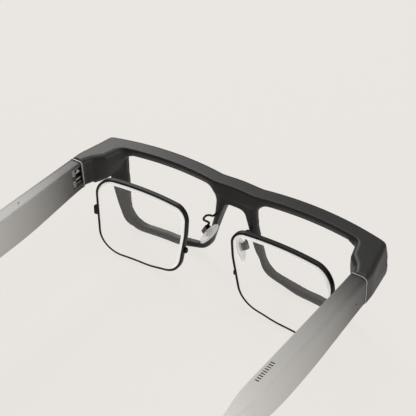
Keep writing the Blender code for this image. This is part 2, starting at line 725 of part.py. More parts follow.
def build_pad():
    """A soft oval pad with the lug that rocks in the clasp."""
    bm = bmesh.new()
    bmesh.ops.create_uvsphere(bm, u_segments=20, v_segments=12, radius=0.5)
    bmesh.ops.scale(bm, vec=(PAD_THICKNESS, PAD_WIDTH, PAD_HEIGHT), verts=bm.verts)
    stand_off = (CLASP[0] + PAD_THICKNESS) / 2 + FIT
    bmesh.ops.translate(bm, vec=(-stand_off, 0.0, -PAD_DROP), verts=bm.verts)
    pad = in_pad_frame(add_object("left_nose_pad", bm, SILICONE))
    reach = (-stand_off, PAD_SCREW_RADIUS + PIN_FIT - 0.1)
    lug = in_pad_frame(box("left_pad_lug", reach, (-CLASP_SLOT / 2 + FIT, CLASP_SLOT / 2 - FIT),
                           (at_clasp(1.0), at_clasp(-1.0))))
    bore = in_pad_frame(rod("left_pad_bore", (0.0, 0.0, at_clasp(0.0)),
                            PAD_SCREW_RADIUS + PIN_FIT, 4 * CLASP[1], "Y"))
    return cut(join(pad, lug), bore)


# ---- inserts --------------------------------------------------------------------------------
SEATED_FRONT = BACK_FACE + FIT              # front of an insert that is pushed home
INSERT_FRONT = SEATED_FRONT + INSERT_TRAVEL
INSERT_BACK = INSERT_FRONT + INSERT_RIM_DEPTH


def build_lug(name, x, depth, height):
    """A small steel lug on an insert's rim, as deep as the rim's front half; x is (root, end)."""
    root, end = x
    outline = [
        (root, depth - height / 2, 0.0),
        (end, depth - height / 2, 0.5),
        (end, depth + height / 2, 0.5),
        (root, depth + height / 2, 0.0),
    ]
    lug = prism(name, rounded(outline), "Y", -FAR, FAR)
    slab = curved_slab(name + "_slab", INSERT_FRONT, INSERT_FRONT + 0.6 * INSERT_RIM_DEPTH, 4.0, HALF_WIDTH - 7.9)
    return keep_inside(lug, slab)


def build_insert_rim():
    rim = lens_plate("left_insert_rim", insert_corners(), INSERT_FRONT, INSERT_BACK, BLACK_METAL)
    inner = inset(insert_corners(), INSERT_RIM_FACE)
    hole = lens_opening("left_insert_hole", inner, -FAR, FAR)
    magnet_lug = build_lug("left_magnet_lug", (lug_place() - 2.5, lug_place() + 0.4), LUG_DEPTH, LUG_HEIGHT)
    nose_lug = build_lug("left_nose_lug", (NOSE_LUG_X + 1.2, NOSE_LUG_X - 0.9), NOSE_LUG_DEPTH, 2.4)
    return join(cut(rim, hole), magnet_lug, nose_lug)


def build_insert_lens():
    middle = (INSERT_FRONT + INSERT_BACK) / 2
    half = INSERT_LENS_THICKNESS / 2
    outline = inset(insert_corners(), INSERT_RIM_FACE + FIT)
    return lens_plate("left_insert_lens", outline, middle - half, middle + half, INSERT_GLASS)


# ---- temples --------------------------------------------------------------------------------
HINGE_SLOT_BACK = HINGE_Y + KNUCKLE_RADIUS + 2 * FIT
CAVITY_OUTER = TEMPLE_OUTER - SHELL_WALL
CAVITY_INNER = TEMPLE_INNER + COVER_THICKNESS + FIT
SPEAKER_Y = (79.0, 92.0)
SLOT_COUNT = 9
SLOT_PITCH = 1.26
SLOT_WIDTH = 0.55
SLOT_LENGTH = 1.8
SLOT_X = TEMPLE_INNER + 0.5                       # inner end of a speaker slot
MIC_Y = 60.8
SIDE_MIC = (30.6, 7.3)
MIC_RADIUS = 0.45


def temple_inner_line(offset=0.0):
    """Plan of the temple's inner face: it swells to the speaker and draws in before the ear tip."""
    taper = (TEMPLE_THICKNESS - TIP_THICKNESS) / 2
    return [
        (TEMPLE_INNER + offset, TEMPLE_FRONT - 1.0),
        (TEMPLE_INNER + offset, SHELL_CAVITY_START),
        (TEMPLE_INNER - TEMPLE_SWELL + offset, SWELL_Y),
        (TEMPLE_INNER + taper + offset, SHELL_END),
    ]


def temple_plan(name):
    taper = (TEMPLE_THICKNESS - TIP_THICKNESS) / 2
    return prism(name, temple_inner_line() + [
        (TEMPLE_INNER + taper, TIP_END + 1.0),
        (TEMPLE_OUTER - taper, TIP_END + 1.0),
        (TEMPLE_OUTER - taper, SHELL_END),
        (TEMPLE_OUTER, SWELL_Y),
        (TEMPLE_OUTER, TEMPLE_FRONT - 1.0),
    ], "Z", -1.0, FRONT_HEIGHT + 1.0)


def build_temple_shell():
    shell = prism("left_temple_shell", rounded(temple_corners()), "X", TEMPLE_INNER - 3.0,
                  TEMPLE_OUTER + 1.0, FRAME_PLASTIC)
    keep_inside(shell, temple_plan("left_shell_plan"))
    core_x = (TEMPLE_INNER + TEMPLE_OUTER) / 2
    tang = box("left_tang", (core_x - TANG[0] / 2, core_x + TANG[0] / 2),
               (SHELL_END - 0.5, SHELL_END + TANG[1]), (TANG_DEPTH, TANG_DEPTH + TANG[2]))
    join(shell, tang)
    cavity = prism("left_cavity", rounded(cavity_corners()), "X", TEMPLE_INNER - 4.0, CAVITY_OUTER)
    keep_inside(cavity, prism("left_cavity_plan", [
        (TEMPLE_INNER - 4.0, SHELL_CAVITY_START - 1.0),
        (TEMPLE_INNER - 4.0, SHELL_END),
        (TEMPLE_OUTER - (TEMPLE_THICKNESS - TIP_THICKNESS) / 2 - SHELL_WALL, SHELL_END),
        (CAVITY_OUTER, SWELL_Y),
        (CAVITY_OUTER, SHELL_CAVITY_START - 1.0),
    ], "Z", 0.0, FRONT_HEIGHT))
    recess = box("left_hinge_recess", (TEMPLE_INNER - 1.0, HINGE_X + KNUCKLE_RADIUS + 2 * FIT),
                 (TEMPLE_FRONT - 1.0, HINGE_SLOT_BACK), (UPPER_HINGE - FIT, LOWER_HINGE + HINGE_STACK + FIT))
    leaf_slot = box("left_temple_leaf_slot", HINGE_SLOT_X, (HINGE_SLOT_BACK - 1.0, SHELL_CAVITY_START + 1.0),
                    (UPPER_HINGE - FIT, LOWER_HINGE + HINGE_STACK + FIT))
    cut(shell, cavity, recess, leaf_slot)
    middle = (SPEAKER_Y[0] + SPEAKER_Y[1]) / 2
    for index in range(SLOT_COUNT):
        y = middle + (index - (SLOT_COUNT - 1) / 2) * SLOT_PITCH
        cut(shell, box("left_speaker_slot_%d" % index, (SLOT_X, SLOT_X + SLOT_LENGTH),
                       (y - SLOT_WIDTH / 2, y + SLOT_WIDTH / 2), (-1.0, SHELL_WALL + 0.5)))
    side_mic = rod("left_side_mic_hole", (TEMPLE_OUTER, *SIDE_MIC), MIC_RADIUS, 2.4, "X", segments=10)
    return cut(shell, side_mic)


def build_temple_cover():
    outline = rounded(inset(cavity_corners(), FIT))
    cover = prism("left_temple_cover", outline, "X", TEMPLE_INNER - 3.0, TEMPLE_INNER + 4.0, INNER_PLASTIC)
    plan = temple_inner_line() + temple_inner_line(COVER_THICKNESS)[::-1]
    return keep_inside(cover, prism("left_cover_plan", plan, "Z", 0.0, FRONT_HEIGHT))


def build_battery():
    return box("left_battery", (CAVITY_INNER + FIT, CAVITY_OUTER - 4 * FIT), (HINGE_Y + 14.0, 76.0), (4.2, 13.6), BATTERY_FOIL)


def build_touch_sensor():
    return box("left_touch_sensor", (CAVITY_OUTER - 0.5, CAVITY_OUTER - FIT), (HINGE_Y + 14.0, 76.0), (3.4, 12.6), FLEX_AMBER)


def build_board():
    x = TEMPLE_OUTER - 3.4
    board = box("left_circuit_board", (x, x + 0.6), (93.4, 110.0), (2.2, 10.2), BOARD_GREEN)
    chip = box("left_chip", (x + 0.4, x + 1.4), (97.0, 102.0), (3.6, 8.6))
    return join(board, chip)


def build_speaker():
    case = box("left_speaker", (CAVITY_INNER + FIT, CAVITY_OUTER - FIT), SPEAKER_Y, (3.0, 12.6), MODULE_BLACK)
    return case


def build_speaker_mesh():
    half = (SLOT_COUNT * SLOT_PITCH) / 2 + 0.4
    middle = (SPEAKER_Y[0] + SPEAKER_Y[1]) / 2
    return box("left_speaker_mesh", (SLOT_X - 0.1, SLOT_X + SLOT_LENGTH + 0.6), (middle - half, middle + half),
               (SHELL_WALL + FIT, SHELL_WALL + FIT + 0.4), BLACK_METAL)


def build_microphone(shell):
    """The voice microphone is in the left temple only, under a pinhole in the top face."""
    core_x = (TEMPLE_INNER + TEMPLE_OUTER) / 2
    cut(shell, rod("left_top_mic_hole", (core_x - 0.9, MIC_Y, 0.0), MIC_RADIUS, 4.0, segments=10))
    return box("left_microphone", (core_x - 2.1, core_x + 0.7), (MIC_Y - 1.8, MIC_Y + 1.8),
               (SHELL_WALL + FIT, SHELL_WALL + FIT + 1.1), GOLD)


def build_ear_tip():
    tip = prism("left_ear_tip", rounded(tip_corners()), "X", TEMPLE_INNER - 1.0, TEMPLE_OUTER + 1.0, TIP_RUBBER)
    keep_inside(tip, temple_plan("left_tip_plan"))
    core_x = (TEMPLE_INNER + TEMPLE_OUTER) / 2
    half = TANG[0] / 2 + FIT
    socket = box("left_tang_socket", (core_x - half, core_x + half), (SHELL_END - 1.0, SHELL_END + TANG[1] + FIT),
                 (TANG_DEPTH - FIT, TANG_DEPTH + TANG[2] + FIT))
    return cut(tip, socket)


# ---- assembly -------------------------------------------------------------------------------
def empty(name, parent, x=0.0, y=0.0, depth=FRONT_HEIGHT):
    made = bpy.data.objects.new(name, None)
    PARTS.objects.link(made)
    made.location = (x * MM, y * MM, up(depth) * MM)
    if parent is not None:
        made.parent = parent
    return made


FRONT_PIECES = [build_display_lens, build_light_engine, build_endpiece_cover, build_magnet,
                build_hinge_front_leaf, build_upper_pin, build_lower_pin, build_hinge_flex,
                build_pad_arm, build_pad_screw]
TEMPLE_PIECES = [build_temple_shell, build_temple_cover, build_hinge_temple_leaf, build_battery,
                 build_touch_sensor, build_board, build_speaker, build_speaker_mesh, build_ear_tip]
INSERT_PIECES = [build_insert_rim, build_insert_lens]
PAD_PIECES = [build_pad]


def build_side_pieces(builders):
    """Each left-hand piece and its right-hand twin."""
    pairs = []
    for builder in builders:
        left = builder()
        pairs.append((left, mirrored(left, left.name.replace("left", "right"))))
    return pairs


def main():
    datum = empty("smart_glasses", None, 0.0, -MIDDLE_Y)
    for piece in (build_front_frame(), build_front_flex()):
        piece.parent = datum
    for left, right in build_side_pieces(FRONT_PIECES):
        left.parent = right.parent = datum
    moving = [
        ("temple_hinge", TEMPLE_PIECES, (HINGE_X, HINGE_Y, 0.0)),
        ("insert_slide", INSERT_PIECES, (LENS_FIELD_X, INSERT_BACK, OPENING_BOTTOM / 2)),
        ("nose_pad_pivot", PAD_PIECES, PAD_PIVOT),
    ]
    for name, builders, (x, y, depth) in moving:
        left_axis = empty("left_" + name, datum, x, y, depth)
        right_axis = empty("right_" + name, datum, -x, y, depth)
        bpy.context.view_layer.update()
        pairs = build_side_pieces(builders)
        if builders is TEMPLE_PIECES:
            pairs.append((build_microphone(pairs[0][0]), None))
        for left, right in pairs:
            for piece, axis in ((left, left_axis), (right, right_axis)):
                if piece is None:
                    continue
                piece.parent = axis
                piece.matrix_parent_inverse = Matrix.Translation(axis.location).inverted()
    for cutter in CUTTERS.objects:
        cutter.parent = datum


main()
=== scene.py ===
"""Smart glasses with floating prescription inserts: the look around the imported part.

Sizes are in millimetres from a datum on the front's outer corner: X to the wearer's left, Y back
towards the ear tips, and depth down from the top of the brow. placed() turns them into metres in
the part's own frame. Every new surface is worked out with numpy as whole arrays.
"""

import math

import bpy
import numpy as np
from mathutils import Matrix, Vector


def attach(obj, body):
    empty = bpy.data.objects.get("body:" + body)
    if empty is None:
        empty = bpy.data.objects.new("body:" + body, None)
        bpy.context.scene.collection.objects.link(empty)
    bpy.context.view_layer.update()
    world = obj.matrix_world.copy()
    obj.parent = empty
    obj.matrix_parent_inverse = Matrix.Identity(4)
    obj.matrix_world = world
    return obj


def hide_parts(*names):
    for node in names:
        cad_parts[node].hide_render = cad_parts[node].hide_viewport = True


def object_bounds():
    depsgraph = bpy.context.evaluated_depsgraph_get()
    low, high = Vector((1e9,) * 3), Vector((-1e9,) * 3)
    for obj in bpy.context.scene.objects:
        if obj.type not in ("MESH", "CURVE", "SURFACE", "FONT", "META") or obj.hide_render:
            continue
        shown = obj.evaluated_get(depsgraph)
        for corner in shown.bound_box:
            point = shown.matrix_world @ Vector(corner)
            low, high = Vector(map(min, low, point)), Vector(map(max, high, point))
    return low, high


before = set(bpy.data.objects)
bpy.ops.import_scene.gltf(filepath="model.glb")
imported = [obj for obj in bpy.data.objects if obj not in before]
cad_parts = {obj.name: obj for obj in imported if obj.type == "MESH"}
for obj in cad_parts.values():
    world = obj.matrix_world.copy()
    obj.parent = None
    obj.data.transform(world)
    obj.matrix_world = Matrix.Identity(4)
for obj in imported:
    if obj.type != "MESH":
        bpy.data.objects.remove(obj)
CAD_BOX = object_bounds()
MM = 0.001

# ---- sizes shared with the part --------------------------------------------------------------
HALF_WIDTH = 75.9
FRONT_HEIGHT = 46.0
BULGE = 6.8                 # each lens field stands this far in front of the datum
BACK = 0.2                  # back face of the rims from the datum, before curve and lean
BROW_DEPTH = 7.0
RIM_DEPTH = 5.6
SHOULDER = 7.0              # the brow is deeper than the rims down to here
FIELD_X = 33.0
FIELD_RADIUS = 130.0
BRIDGE_HALF = 11.0
BRIDGE_SWELL = 0.5
LEAN = math.tan(math.radians(4.0))
OPENING_TOP = 4.9
OPENING_BOTTOM = 42.1
ARCH_TOP = 10.1
ENDPIECE_HEIGHT = 14.0
ENDPIECE_LENGTH = 23.0
TEMPLE_INNER = 68.8
TEMPLE_FRONT = 23.4
TEMPLE_SWELL = 1.2
SWELL_Y = 98.0
SHELL_END = 117.5
TIP_START = 117.75
TIP_END = 159.0
HINGE = (70.3, 28.0)
HINGE_SLOT = (1.15, 10.85)  # the hinge recess below the brow top
INSERT_FRONT = 16.85
INSERT_DEPTH = 2.6
INSERT_FACE = 1.15
INSERT_OVER = 1.8
INSERT_DROP = 3.1
FLANGE = 2.8                # rim behind the display lens
TAPER = 4.2                 # the end pieces draw in towards the front corners
TAPER_END = 17.0
TAPER_LOW = 2.0             # they draw in less at their lower edge

_low, _high = CAD_BOX
ORIGIN = np.array([0.0, _low[1] / MM + BULGE, _high[2] / MM])


def placed(points):
    """(x, y, depth) in millimetres from the datum, as metres in the part's frame."""
    points = np.asarray(points, dtype=float)
    return (points * np.array([1.0, 1.0, -1.0]) + ORIGIN) * MM


# ---- meshes from arrays ----------------------------------------------------------------------
def make_piece(name, points, faces, finish, body, nodes=(), sharp=40.0):
    """A mesh piece from (x, y, depth) points; it rides on a body and stands for its nodes."""
    mesh = bpy.data.meshes.new(name)
    mesh.from_pydata(placed(points).tolist(), [], [tuple(f) for f in faces])
    mesh.validate()
    mesh.update()
    for each in finish if isinstance(finish, (list, tuple)) else [finish]:
        mesh.materials.append(each)
    mesh.shade_smooth()
    if sharp:
        mesh.set_sharp_from_angle(angle=math.radians(sharp))
    piece = bpy.data.objects.new(name, mesh)
    bpy.context.scene.collection.objects.link(piece)
    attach(piece, body)
    if nodes:
        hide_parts(*nodes)
    return piece


def grid_faces(rows, columns, closed_rows=False, closed_columns=True, start=0):
    """Quads of a grid of rows by columns points, each direction open or closed."""
    r = np.arange(rows if closed_rows else rows - 1)
    c = np.arange(columns if closed_columns else columns - 1)
    r, c = np.meshgrid(r, c, indexing="ij")
    r2, c2 = (r + 1) % rows, (c + 1) % columns
    quads = np.stack([r * columns + c, r * columns + c2, r2 * columns + c2, r2 * columns + c], axis=-1)
    return (quads.reshape(-1, 4) + start).tolist()


def mirrored_points(points, faces):
    """The same surface on the other side of the middle plane."""
    return points * np.array([-1.0, 1.0, 1.0]), [face[::-1] for face in faces]


def outward(points, faces):
    """Faces turned so that they enclose a positive volume."""
    p = placed(points)
    tri = [(f[0], f[i], f[i + 1]) for f in faces for i in range(1, len(f) - 1)]
    a, b, c = (p[np.array(tri)[:, i]] for i in range(3))
    volume = np.einsum("ij,ij->i", a, np.cross(b, c)).sum()
    return faces if volume > 0 else [list(face)[::-1] for face in faces]


def pair(name, points, faces, finish, body, nodes=(), slot=None, sharp=40.0):
    """A left piece and its right twin; 'left' in the names becomes 'right'."""
    faces = outward(points, faces)
    twin_points, twin_faces = mirrored_points(points, faces)
    left = make_piece(name, points, faces, finish, body, nodes, sharp)
    swap = [n.replace("left", "right") for n in nodes]
    right = make_piece(name.replace("left", "right"), twin_points, twin_faces, finish,
                       body.replace("left", "right"), swap, sharp)
    return left, right


# ---- outlines --------------------------------------------------------------------------------
def rounded(corners, per_corner=10):
    """Outline through (a, b, radius) corners: each corner is an arc that touches both its sides."""
    corners = np.array(corners, dtype=float)
    here, radius = corners[:, :2], corners[:, 2]
    before = np.roll(here, 1, axis=0) - here
    after = np.roll(here, -1, axis=0) - here
    length_1 = np.linalg.norm(before, axis=1)
    length_2 = np.linalg.norm(after, axis=1)
    before /= length_1[:, None]
    after /= length_2[:, None]
    half = np.arccos(np.clip((before * after).sum(axis=1), -1, 1)) / 2
    reach = np.minimum(np.maximum(radius, 0.01) / np.tan(half), 0.49 * np.minimum(length_1, length_2))
    radius = reach * np.tan(half)
    middle = before + after
    middle /= np.linalg.norm(middle, axis=1)[:, None]
    centre = here + middle * (radius / np.sin(half))[:, None]
    start = here + before * reach[:, None] - centre
    side = np.where(before[:, 0] * after[:, 1] - before[:, 1] * after[:, 0] < 0, 1.0, -1.0)
    turn = (side * (math.pi - 2 * half))[:, None] * np.linspace(0, 1, per_corner)[None, :]
    x = centre[:, :1] + start[:, :1] * np.cos(turn) - start[:, 1:] * np.sin(turn)
    y = centre[:, 1:] + start[:, :1] * np.sin(turn) + start[:, 1:] * np.cos(turn)
    return np.stack([x, y], axis=-1).reshape(-1, 2)


def evened(outline, count):
    """A closed outline resampled at equal steps of its own length."""
    closed = np.vstack([outline, outline[:1]])
    steps = np.linalg.norm(np.diff(closed, axis=0), axis=1)
    along = np.concatenate([[0.0], np.cumsum(steps)])
    wanted = np.linspace(0.0, along[-1], count, endpoint=False)
    return np.stack([np.interp(wanted, along, closed[:, i]) for i in (0, 1)], axis=1)


def normals_of(outline):
    """Unit normals of a closed outline, pointing away from its middle."""
    tangent = np.roll(outline, -1, axis=0) - np.roll(outline, 1, axis=0)
    tangent /= np.linalg.norm(tangent, axis=1)[:, None]
    normal = np.stack([tangent[:, 1], -tangent[:, 0]], axis=1)
    area = (outline[:, 0] * np.roll(outline[:, 1], -1) - outline[:, 1] * np.roll(outline[:, 0], -1)).sum()
    return normal if area > 0 else -normal


def opening_corners():
    return [(10.2, OPENING_TOP, 7.0), (60.6, OPENING_TOP, 2.5), (59.6, OPENING_BOTTOM, 9.0),
            (34.0, OPENING_BOTTOM, 30.0), (17.0, OPENING_BOTTOM - 3.4, 10.0), (11.4, ARCH_TOP + 8.0, 30.0)]


def insert_corners():
    side, bottom = HALF_WIDTH - 15.3 + INSERT_OVER, OPENING_BOTTOM + INSERT_DROP
    return [(11.0, OPENING_TOP - 0.4, 8.5), (side - 0.5, OPENING_TOP - 0.4, 9.5), (side - 1.4, bottom, 12.0),
            (34.0, bottom, 30.0), (16.6, bottom - 3.9, 16.0), (12.0, ARCH_TOP + 8.0, 30.0)]


def field_curve(x):
    """How far the front curves back at x: an arc about each lens field's middle, with the bridge
    swelling forward as half a cosine wave."""
    x = np.abs(x)
    arc = (np.maximum(x, BRIDGE_HALF) - FIELD_X) ** 2 / (2 * FIELD_RADIUS)
    return arc - BRIDGE_SWELL * 0.5 * (1 + np.cos(np.pi * np.minimum(x / BRIDGE_HALF, 1.0)))


def base_y(x, depth):
    """Y of the front's middle surface at x and depth: field curve plus lean."""
    return field_curve(x) + LEAN * depth


# ---- solids as distance fields ---------------------------------------------------------------
def outline_distance(x, y, outline):
    """Signed distance from points to a closed outline, negative inside: the least distance to its
    sides, with the sign from how often a ray crosses them."""
    best = np.full(x.shape, 1e9)
    inside = np.zeros(x.shape, dtype=bool)
    for (ax, ay), (bx, by) in zip(outline, np.roll(outline, -1, axis=0)):
        dx, dy = bx - ax, by - ay
        t = np.clip(((x - ax) * dx + (y - ay) * dy) / max(dx * dx + dy * dy, 1e-12), 0, 1)
        best = np.minimum(best, (x - ax - t * dx) ** 2 + (y - ay - t * dy) ** 2)
        if dy != 0:
            inside ^= ((ay > y) != (by > y)) & (x < dx * (y - ay) / dy + ax)
    return np.where(inside, -1.0, 1.0) * np.sqrt(best)


def rounded_meet(a, b, radius):
    """What two distances share, with the edge between them rounded to radius."""
    a, b = a + radius, b + radius
    return np.minimum(np.maximum(a, b), 0) + np.hypot(np.maximum(a, 0), np.maximum(b, 0)) - radius


def soft_join(a, b, width):
    """The union of two distances, with a fillet about width wide where they meet."""
    h = np.maximum(width - np.abs(a - b), 0) / width
    return np.minimum(a, b) - h * h * width / 4


def soft_cut(a, b, width):
    """a with b taken away, its edge eased over width."""
    return -soft_join(-a, b, width)


def skin(field, low, step):
    """Surface of a sampled distance field: one point in each cell that the surface crosses, at the
    middle of its crossings, and one quad across each crossed edge."""
    total = np.zeros(tuple(n - 1 for n in field.shape) + (3,))
    hits = np.zeros(total.shape[:3])
    crossings = []
    for axis in range(3):
        near = np.take(field, range(field.shape[axis] - 1), axis)
        far = np.take(field, range(1, field.shape[axis]), axis)
        crossed = (near < 0) != (far < 0)
        share = np.where(crossed, near / np.where(crossed, near - far, 1.0), 0.0)
        index = np.argwhere(crossed)
        place = index.astype(float)
        place[:, axis] += share[crossed]
        others = [i for i in range(3) if i != axis]
        for back_1 in (0, 1):
            for back_2 in (0, 1):
                cell = index.copy()
                cell[:, others[0]] -= back_1
                cell[:, others[1]] -= back_2
                good = (cell >= 0).all(axis=1) & (cell < hits.shape).all(axis=1)
                at = tuple(cell[good].T)
                np.add.at(total, at, place[good])
                np.add.at(hits, at, 1)
        crossings.append((axis, others, index, near[crossed] < 0))
    number = np.cumsum(hits.ravel() > 0).reshape(hits.shape) - 1
    points = (total[hits > 0] / hits[hits > 0][:, None]) * step + np.array(low)
    faces = []
    for axis, others, index, inside in crossings:
        corners = []
        for back_1, back_2 in ((0, 0), (1, 0), (1, 1), (0, 1)):
            cell = index.copy()
            cell[:, others[0]] -= back_1
            cell[:, others[1]] -= back_2
            corners.append(cell)
        good = np.all([(c >= 0).all(axis=1) & (c < hits.shape).all(axis=1) for c in corners], axis=0)
        quads = np.stack([number[tuple(c[good].T)] for c in corners], axis=1)
        flip = inside[good] ^ (axis == 1)
        quads[flip] = quads[flip][:, ::-1]
        faces.append(quads)
    return points, np.vstack(faces)


# ---- finishes --------------------------------------------------------------------------------
def finish(name, colour, roughness, metallic=0.0, **sockets):
    """A Principled material; returns it with its node tree and shader."""
    made = bpy.data.materials.new(name)
    made.use_nodes = True
    tree = made.node_tree
    shader = tree.nodes["Principled BSDF"]
    shader.inputs["Base Color"].default_value = (*colour, 1.0)
    shader.inputs["Roughness"].default_value = roughness
    shader.inputs["Metallic"].default_value = metallic
    for socket, value in sockets.items():
        shader.inputs[socket.replace("_", " ")].default_value = value
    return made, tree, shader


def grain(tree, shader, scale, strength, distance=0.00002, roughness=None):
    """Fine moulded texture: noise on object coordinates into bump, and a little into roughness."""
    coords = tree.nodes.new("ShaderNodeTexCoord")
    noise = tree.nodes.new("ShaderNodeTexNoise")
    noise.inputs["Scale"].default_value = scale
    noise.inputs["Detail"].default_value = 4.0
    tree.links.new(coords.outputs["Object"], noise.inputs["Vector"])
    bump = tree.nodes.new("ShaderNodeBump")
    bump.inputs["Strength"].default_value = strength
    bump.inputs["Distance"].default_value = distance
    tree.links.new(noise.outputs["Fac"], bump.inputs["Height"])
    tree.links.new(bump.outputs["Normal"], shader.inputs["Normal"])
    if roughness:
        spread = tree.nodes.new("ShaderNodeMapRange")
        spread.inputs["To Min"].default_value = roughness[0]
        spread.inputs["To Max"].default_value = roughness[1]
        tree.links.new(noise.outputs["Fac"], spread.inputs["Value"])
        tree.links.new(spread.outputs["Result"], shader.inputs["Roughness"])
    return coords


def ramp_along(tree, shader, coords, axis, start, end, stops):
    """Base colour that fades along one object axis between two places, through (share, grey) stops."""
    split = tree.nodes.new("ShaderNodeSeparateXYZ")
    tree.links.new(coords.outputs["Object"], split.inputs["Vector"])
    share = tree.nodes.new("ShaderNodeMapRange")
    share.inputs["From Min"].default_value = start
    share.inputs["From Max"].default_value = end
    tree.links.new(split.outputs[axis], share.inputs["Value"])
    ramp = tree.nodes.new("ShaderNodeValToRGB")
    ramp.color_ramp.interpolation = "LINEAR"
    while len(ramp.color_ramp.elements) < len(stops):
        ramp.color_ramp.elements.new(0.5)
    for element, (where, grey) in zip(ramp.color_ramp.elements, stops):
        element.position = where
        element.color = (grey * 1.03, grey, grey * 0.95, 1.0)
    tree.links.new(share.outputs["Result"], ramp.inputs["Fac"])
    tree.links.new(ramp.outputs["Color"], shader.inputs["Base Color"])


def y_of(y):
    """Place along the part's own Y, in metres, of a datum y."""
    return (y + ORIGIN[1]) * MM


FRAME_FINISH, _tree, _shader = finish("satin_frame", (0.024, 0.0235, 0.0228), 0.42, Specular_IOR_Level=0.22)
grain(_tree, _shader, 2600.0, 0.10, roughness=(0.38, 0.50))

# The temple's base colour goes from dark at the hinge to pale grey towards the ear tip, along its Y.
TEMPLE_FINISH, _tree, _shader = finish("temple_dark_to_pale", (0.05, 0.05, 0.048), 0.42, Specular_IOR_Level=0.22)
_coords = grain(_tree, _shader, 2600.0, 0.10, roughness=(0.38, 0.50))
ramp_along(_tree, _shader, _coords, "Y", y_of(24.0), y_of(120.0),
           [(0.0, 0.046), (0.1, 0.112), (0.21, 0.22), (0.36, 0.34), (0.52, 0.43), (0.65, 0.50), (0.77, 0.57),
            (0.9, 0.66), (1.0, 0.72)])

TIP_FINISH, _tree, _shader = finish("soft_tip", (0.66, 0.65, 0.62), 0.6)
grain(_tree, _shader, 1800.0, 0.2, roughness=(0.55, 0.68))

SEAM_FINISH, _tree, _shader = finish("seam_edge", (0.30, 0.297, 0.288), 0.4)
grain(_tree, _shader, 2600.0, 0.08)

BLACK_METAL, _tree, _shader = finish("black_rim_metal", (0.009, 0.009, 0.009), 0.45, 0.0, Specular_IOR_Level=0.15)
grain(_tree, _shader, 4200.0, 0.06, roughness=(0.40, 0.50))

DARK_STEEL, _tree, _shader = finish("dark_steel", (0.10, 0.10, 0.098), 0.34, 1.0)
grain(_tree, _shader, 3800.0, 0.08, roughness=(0.28, 0.42))

BRIGHT_STEEL, _tree, _shader = finish("hinge_steel", (0.30, 0.295, 0.28), 0.4, 1.0)
grain(_tree, _shader, 3800.0, 0.08, roughness=(0.30, 0.44))

BLACK_PLASTIC, _tree, _shader = finish("inner_black", (0.012, 0.012, 0.012), 0.6)
grain(_tree, _shader, 3000.0, 0.15)

FLEX_FINISH, _tree, _shader = finish("flex_film", (0.02, 0.018, 0.016), 0.35)
grain(_tree, _shader, 2400.0, 0.05)

FOIL_FINISH, _tree, _shader = finish("battery_foil", (0.5, 0.5, 0.52), 0.4, 0.6)
grain(_tree, _shader, 900.0, 0.3)

BOARD_FINISH, _tree, _shader = finish("board_mask", (0.02, 0.12, 0.06), 0.5)
grain(_tree, _shader, 2000.0, 0.2)

GOLD_FINISH, _tree, _shader = finish("gold_can", (0.8, 0.55, 0.2), 0.3, 1.0)
grain(_tree, _shader, 3000.0, 0.05)

MESH_FINISH, _tree, _shader = finish("speaker_mesh_grey", (0.20, 0.198, 0.192), 0.6)
MAGNET_FINISH, _tree, _shader = finish("magnet_nickel", (0.03, 0.03, 0.03), 0.5)
grain(_tree, _shader, 3000.0, 0.05)


def self_lit(shader, colour, strength):
    """Gives a shader light of its own."""
    shader.inputs["Emission Color"].default_value = (*colour, 1.0)
    shader.inputs["Emission Strength"].default_value = strength


def clear(name, colour, roughness, alpha, glow=0.0):
    """A clear coating: most of the light passes straight through, and the rest is a self-lit veil, a painted sheen of
    reflected light.
    """
    made, tree, shader = finish(name, colour, roughness, 0.0)
    shader.inputs["Alpha"].default_value = alpha
    self_lit(shader, colour, glow)
    return made, tree, shader


# The glow of these three clear parts is a painted sheen.
INSERT_GLASS, _tree, _shader = clear("insert_glass", (0.80, 0.77, 0.73), 0.08, 0.04, 0.45)
DISPLAY_GLASS, _tree, _shader = clear("display_glass", (0.80, 0.77, 0.73), 0.08, 0.008, 0.4)
SILICONE, _tree, _shader = clear("clear_silicone", (0.82, 0.82, 0.80), 0.25, 0.5, 0.12)
grain(_tree, _shader, 900.0, 0.08)
# The clear lens edge is painted near-white and self-lit: a painted highlight and glow for the light the edge catches.
LENS_EDGE_PAINTED_HIGHLIGHT, _tree, _shader = finish("lens_edge_painted_highlight", (0.93, 0.93, 0.92), 0.18)
self_lit(_shader, (1.0, 0.99, 0.97), 0.35)
grain(_tree, _shader, 1500.0, 0.03)
# The edge is solid from outside and open from inside, so this one finish changes with the view.
_side = _tree.nodes.new("ShaderNodeNewGeometry")
_open = _tree.nodes.new("ShaderNodeMath")
_open.operation = "SUBTRACT"
_open.inputs[0].default_value = 1.0
_tree.links.new(_side.outputs["Backfacing"], _open.inputs[1])
_tree.links.new(_open.outputs["Value"], _shader.inputs["Alpha"])

# The wall is lit in nearly the floor's colour, to cover the inside of the black rim. It suits only this floor.
LENS_WALL, _tree, _shader = finish("lens_inner_edge", (0.06, 0.058, 0.055), 0.6, Specular_IOR_Level=0.0)
self_lit(_shader, (0.79, 0.76, 0.725), 0.96)
grain(_tree, _shader, 1500.0, 0.03)


# ---- front -----------------------------------------------------------------------------------
def front_outline():
    half = [(5.0, ARCH_TOP, 3.5), (8.2, ARCH_TOP + 9.0, 20.0), (15.0, FRONT_HEIGHT - 5.6, 10.0),
            (32.0, FRONT_HEIGHT, 25.0), (61.6, FRONT_HEIGHT, 12.0), (69.0, ENDPIECE_HEIGHT - 0.6, 0.0),
            (HALF_WIDTH, ENDPIECE_HEIGHT - 2.4, 4.0), (HALF_WIDTH, 0.0, 0.5)]
    return rounded(half + [(-x, d, r) for x, d, r in reversed(half)], 8)


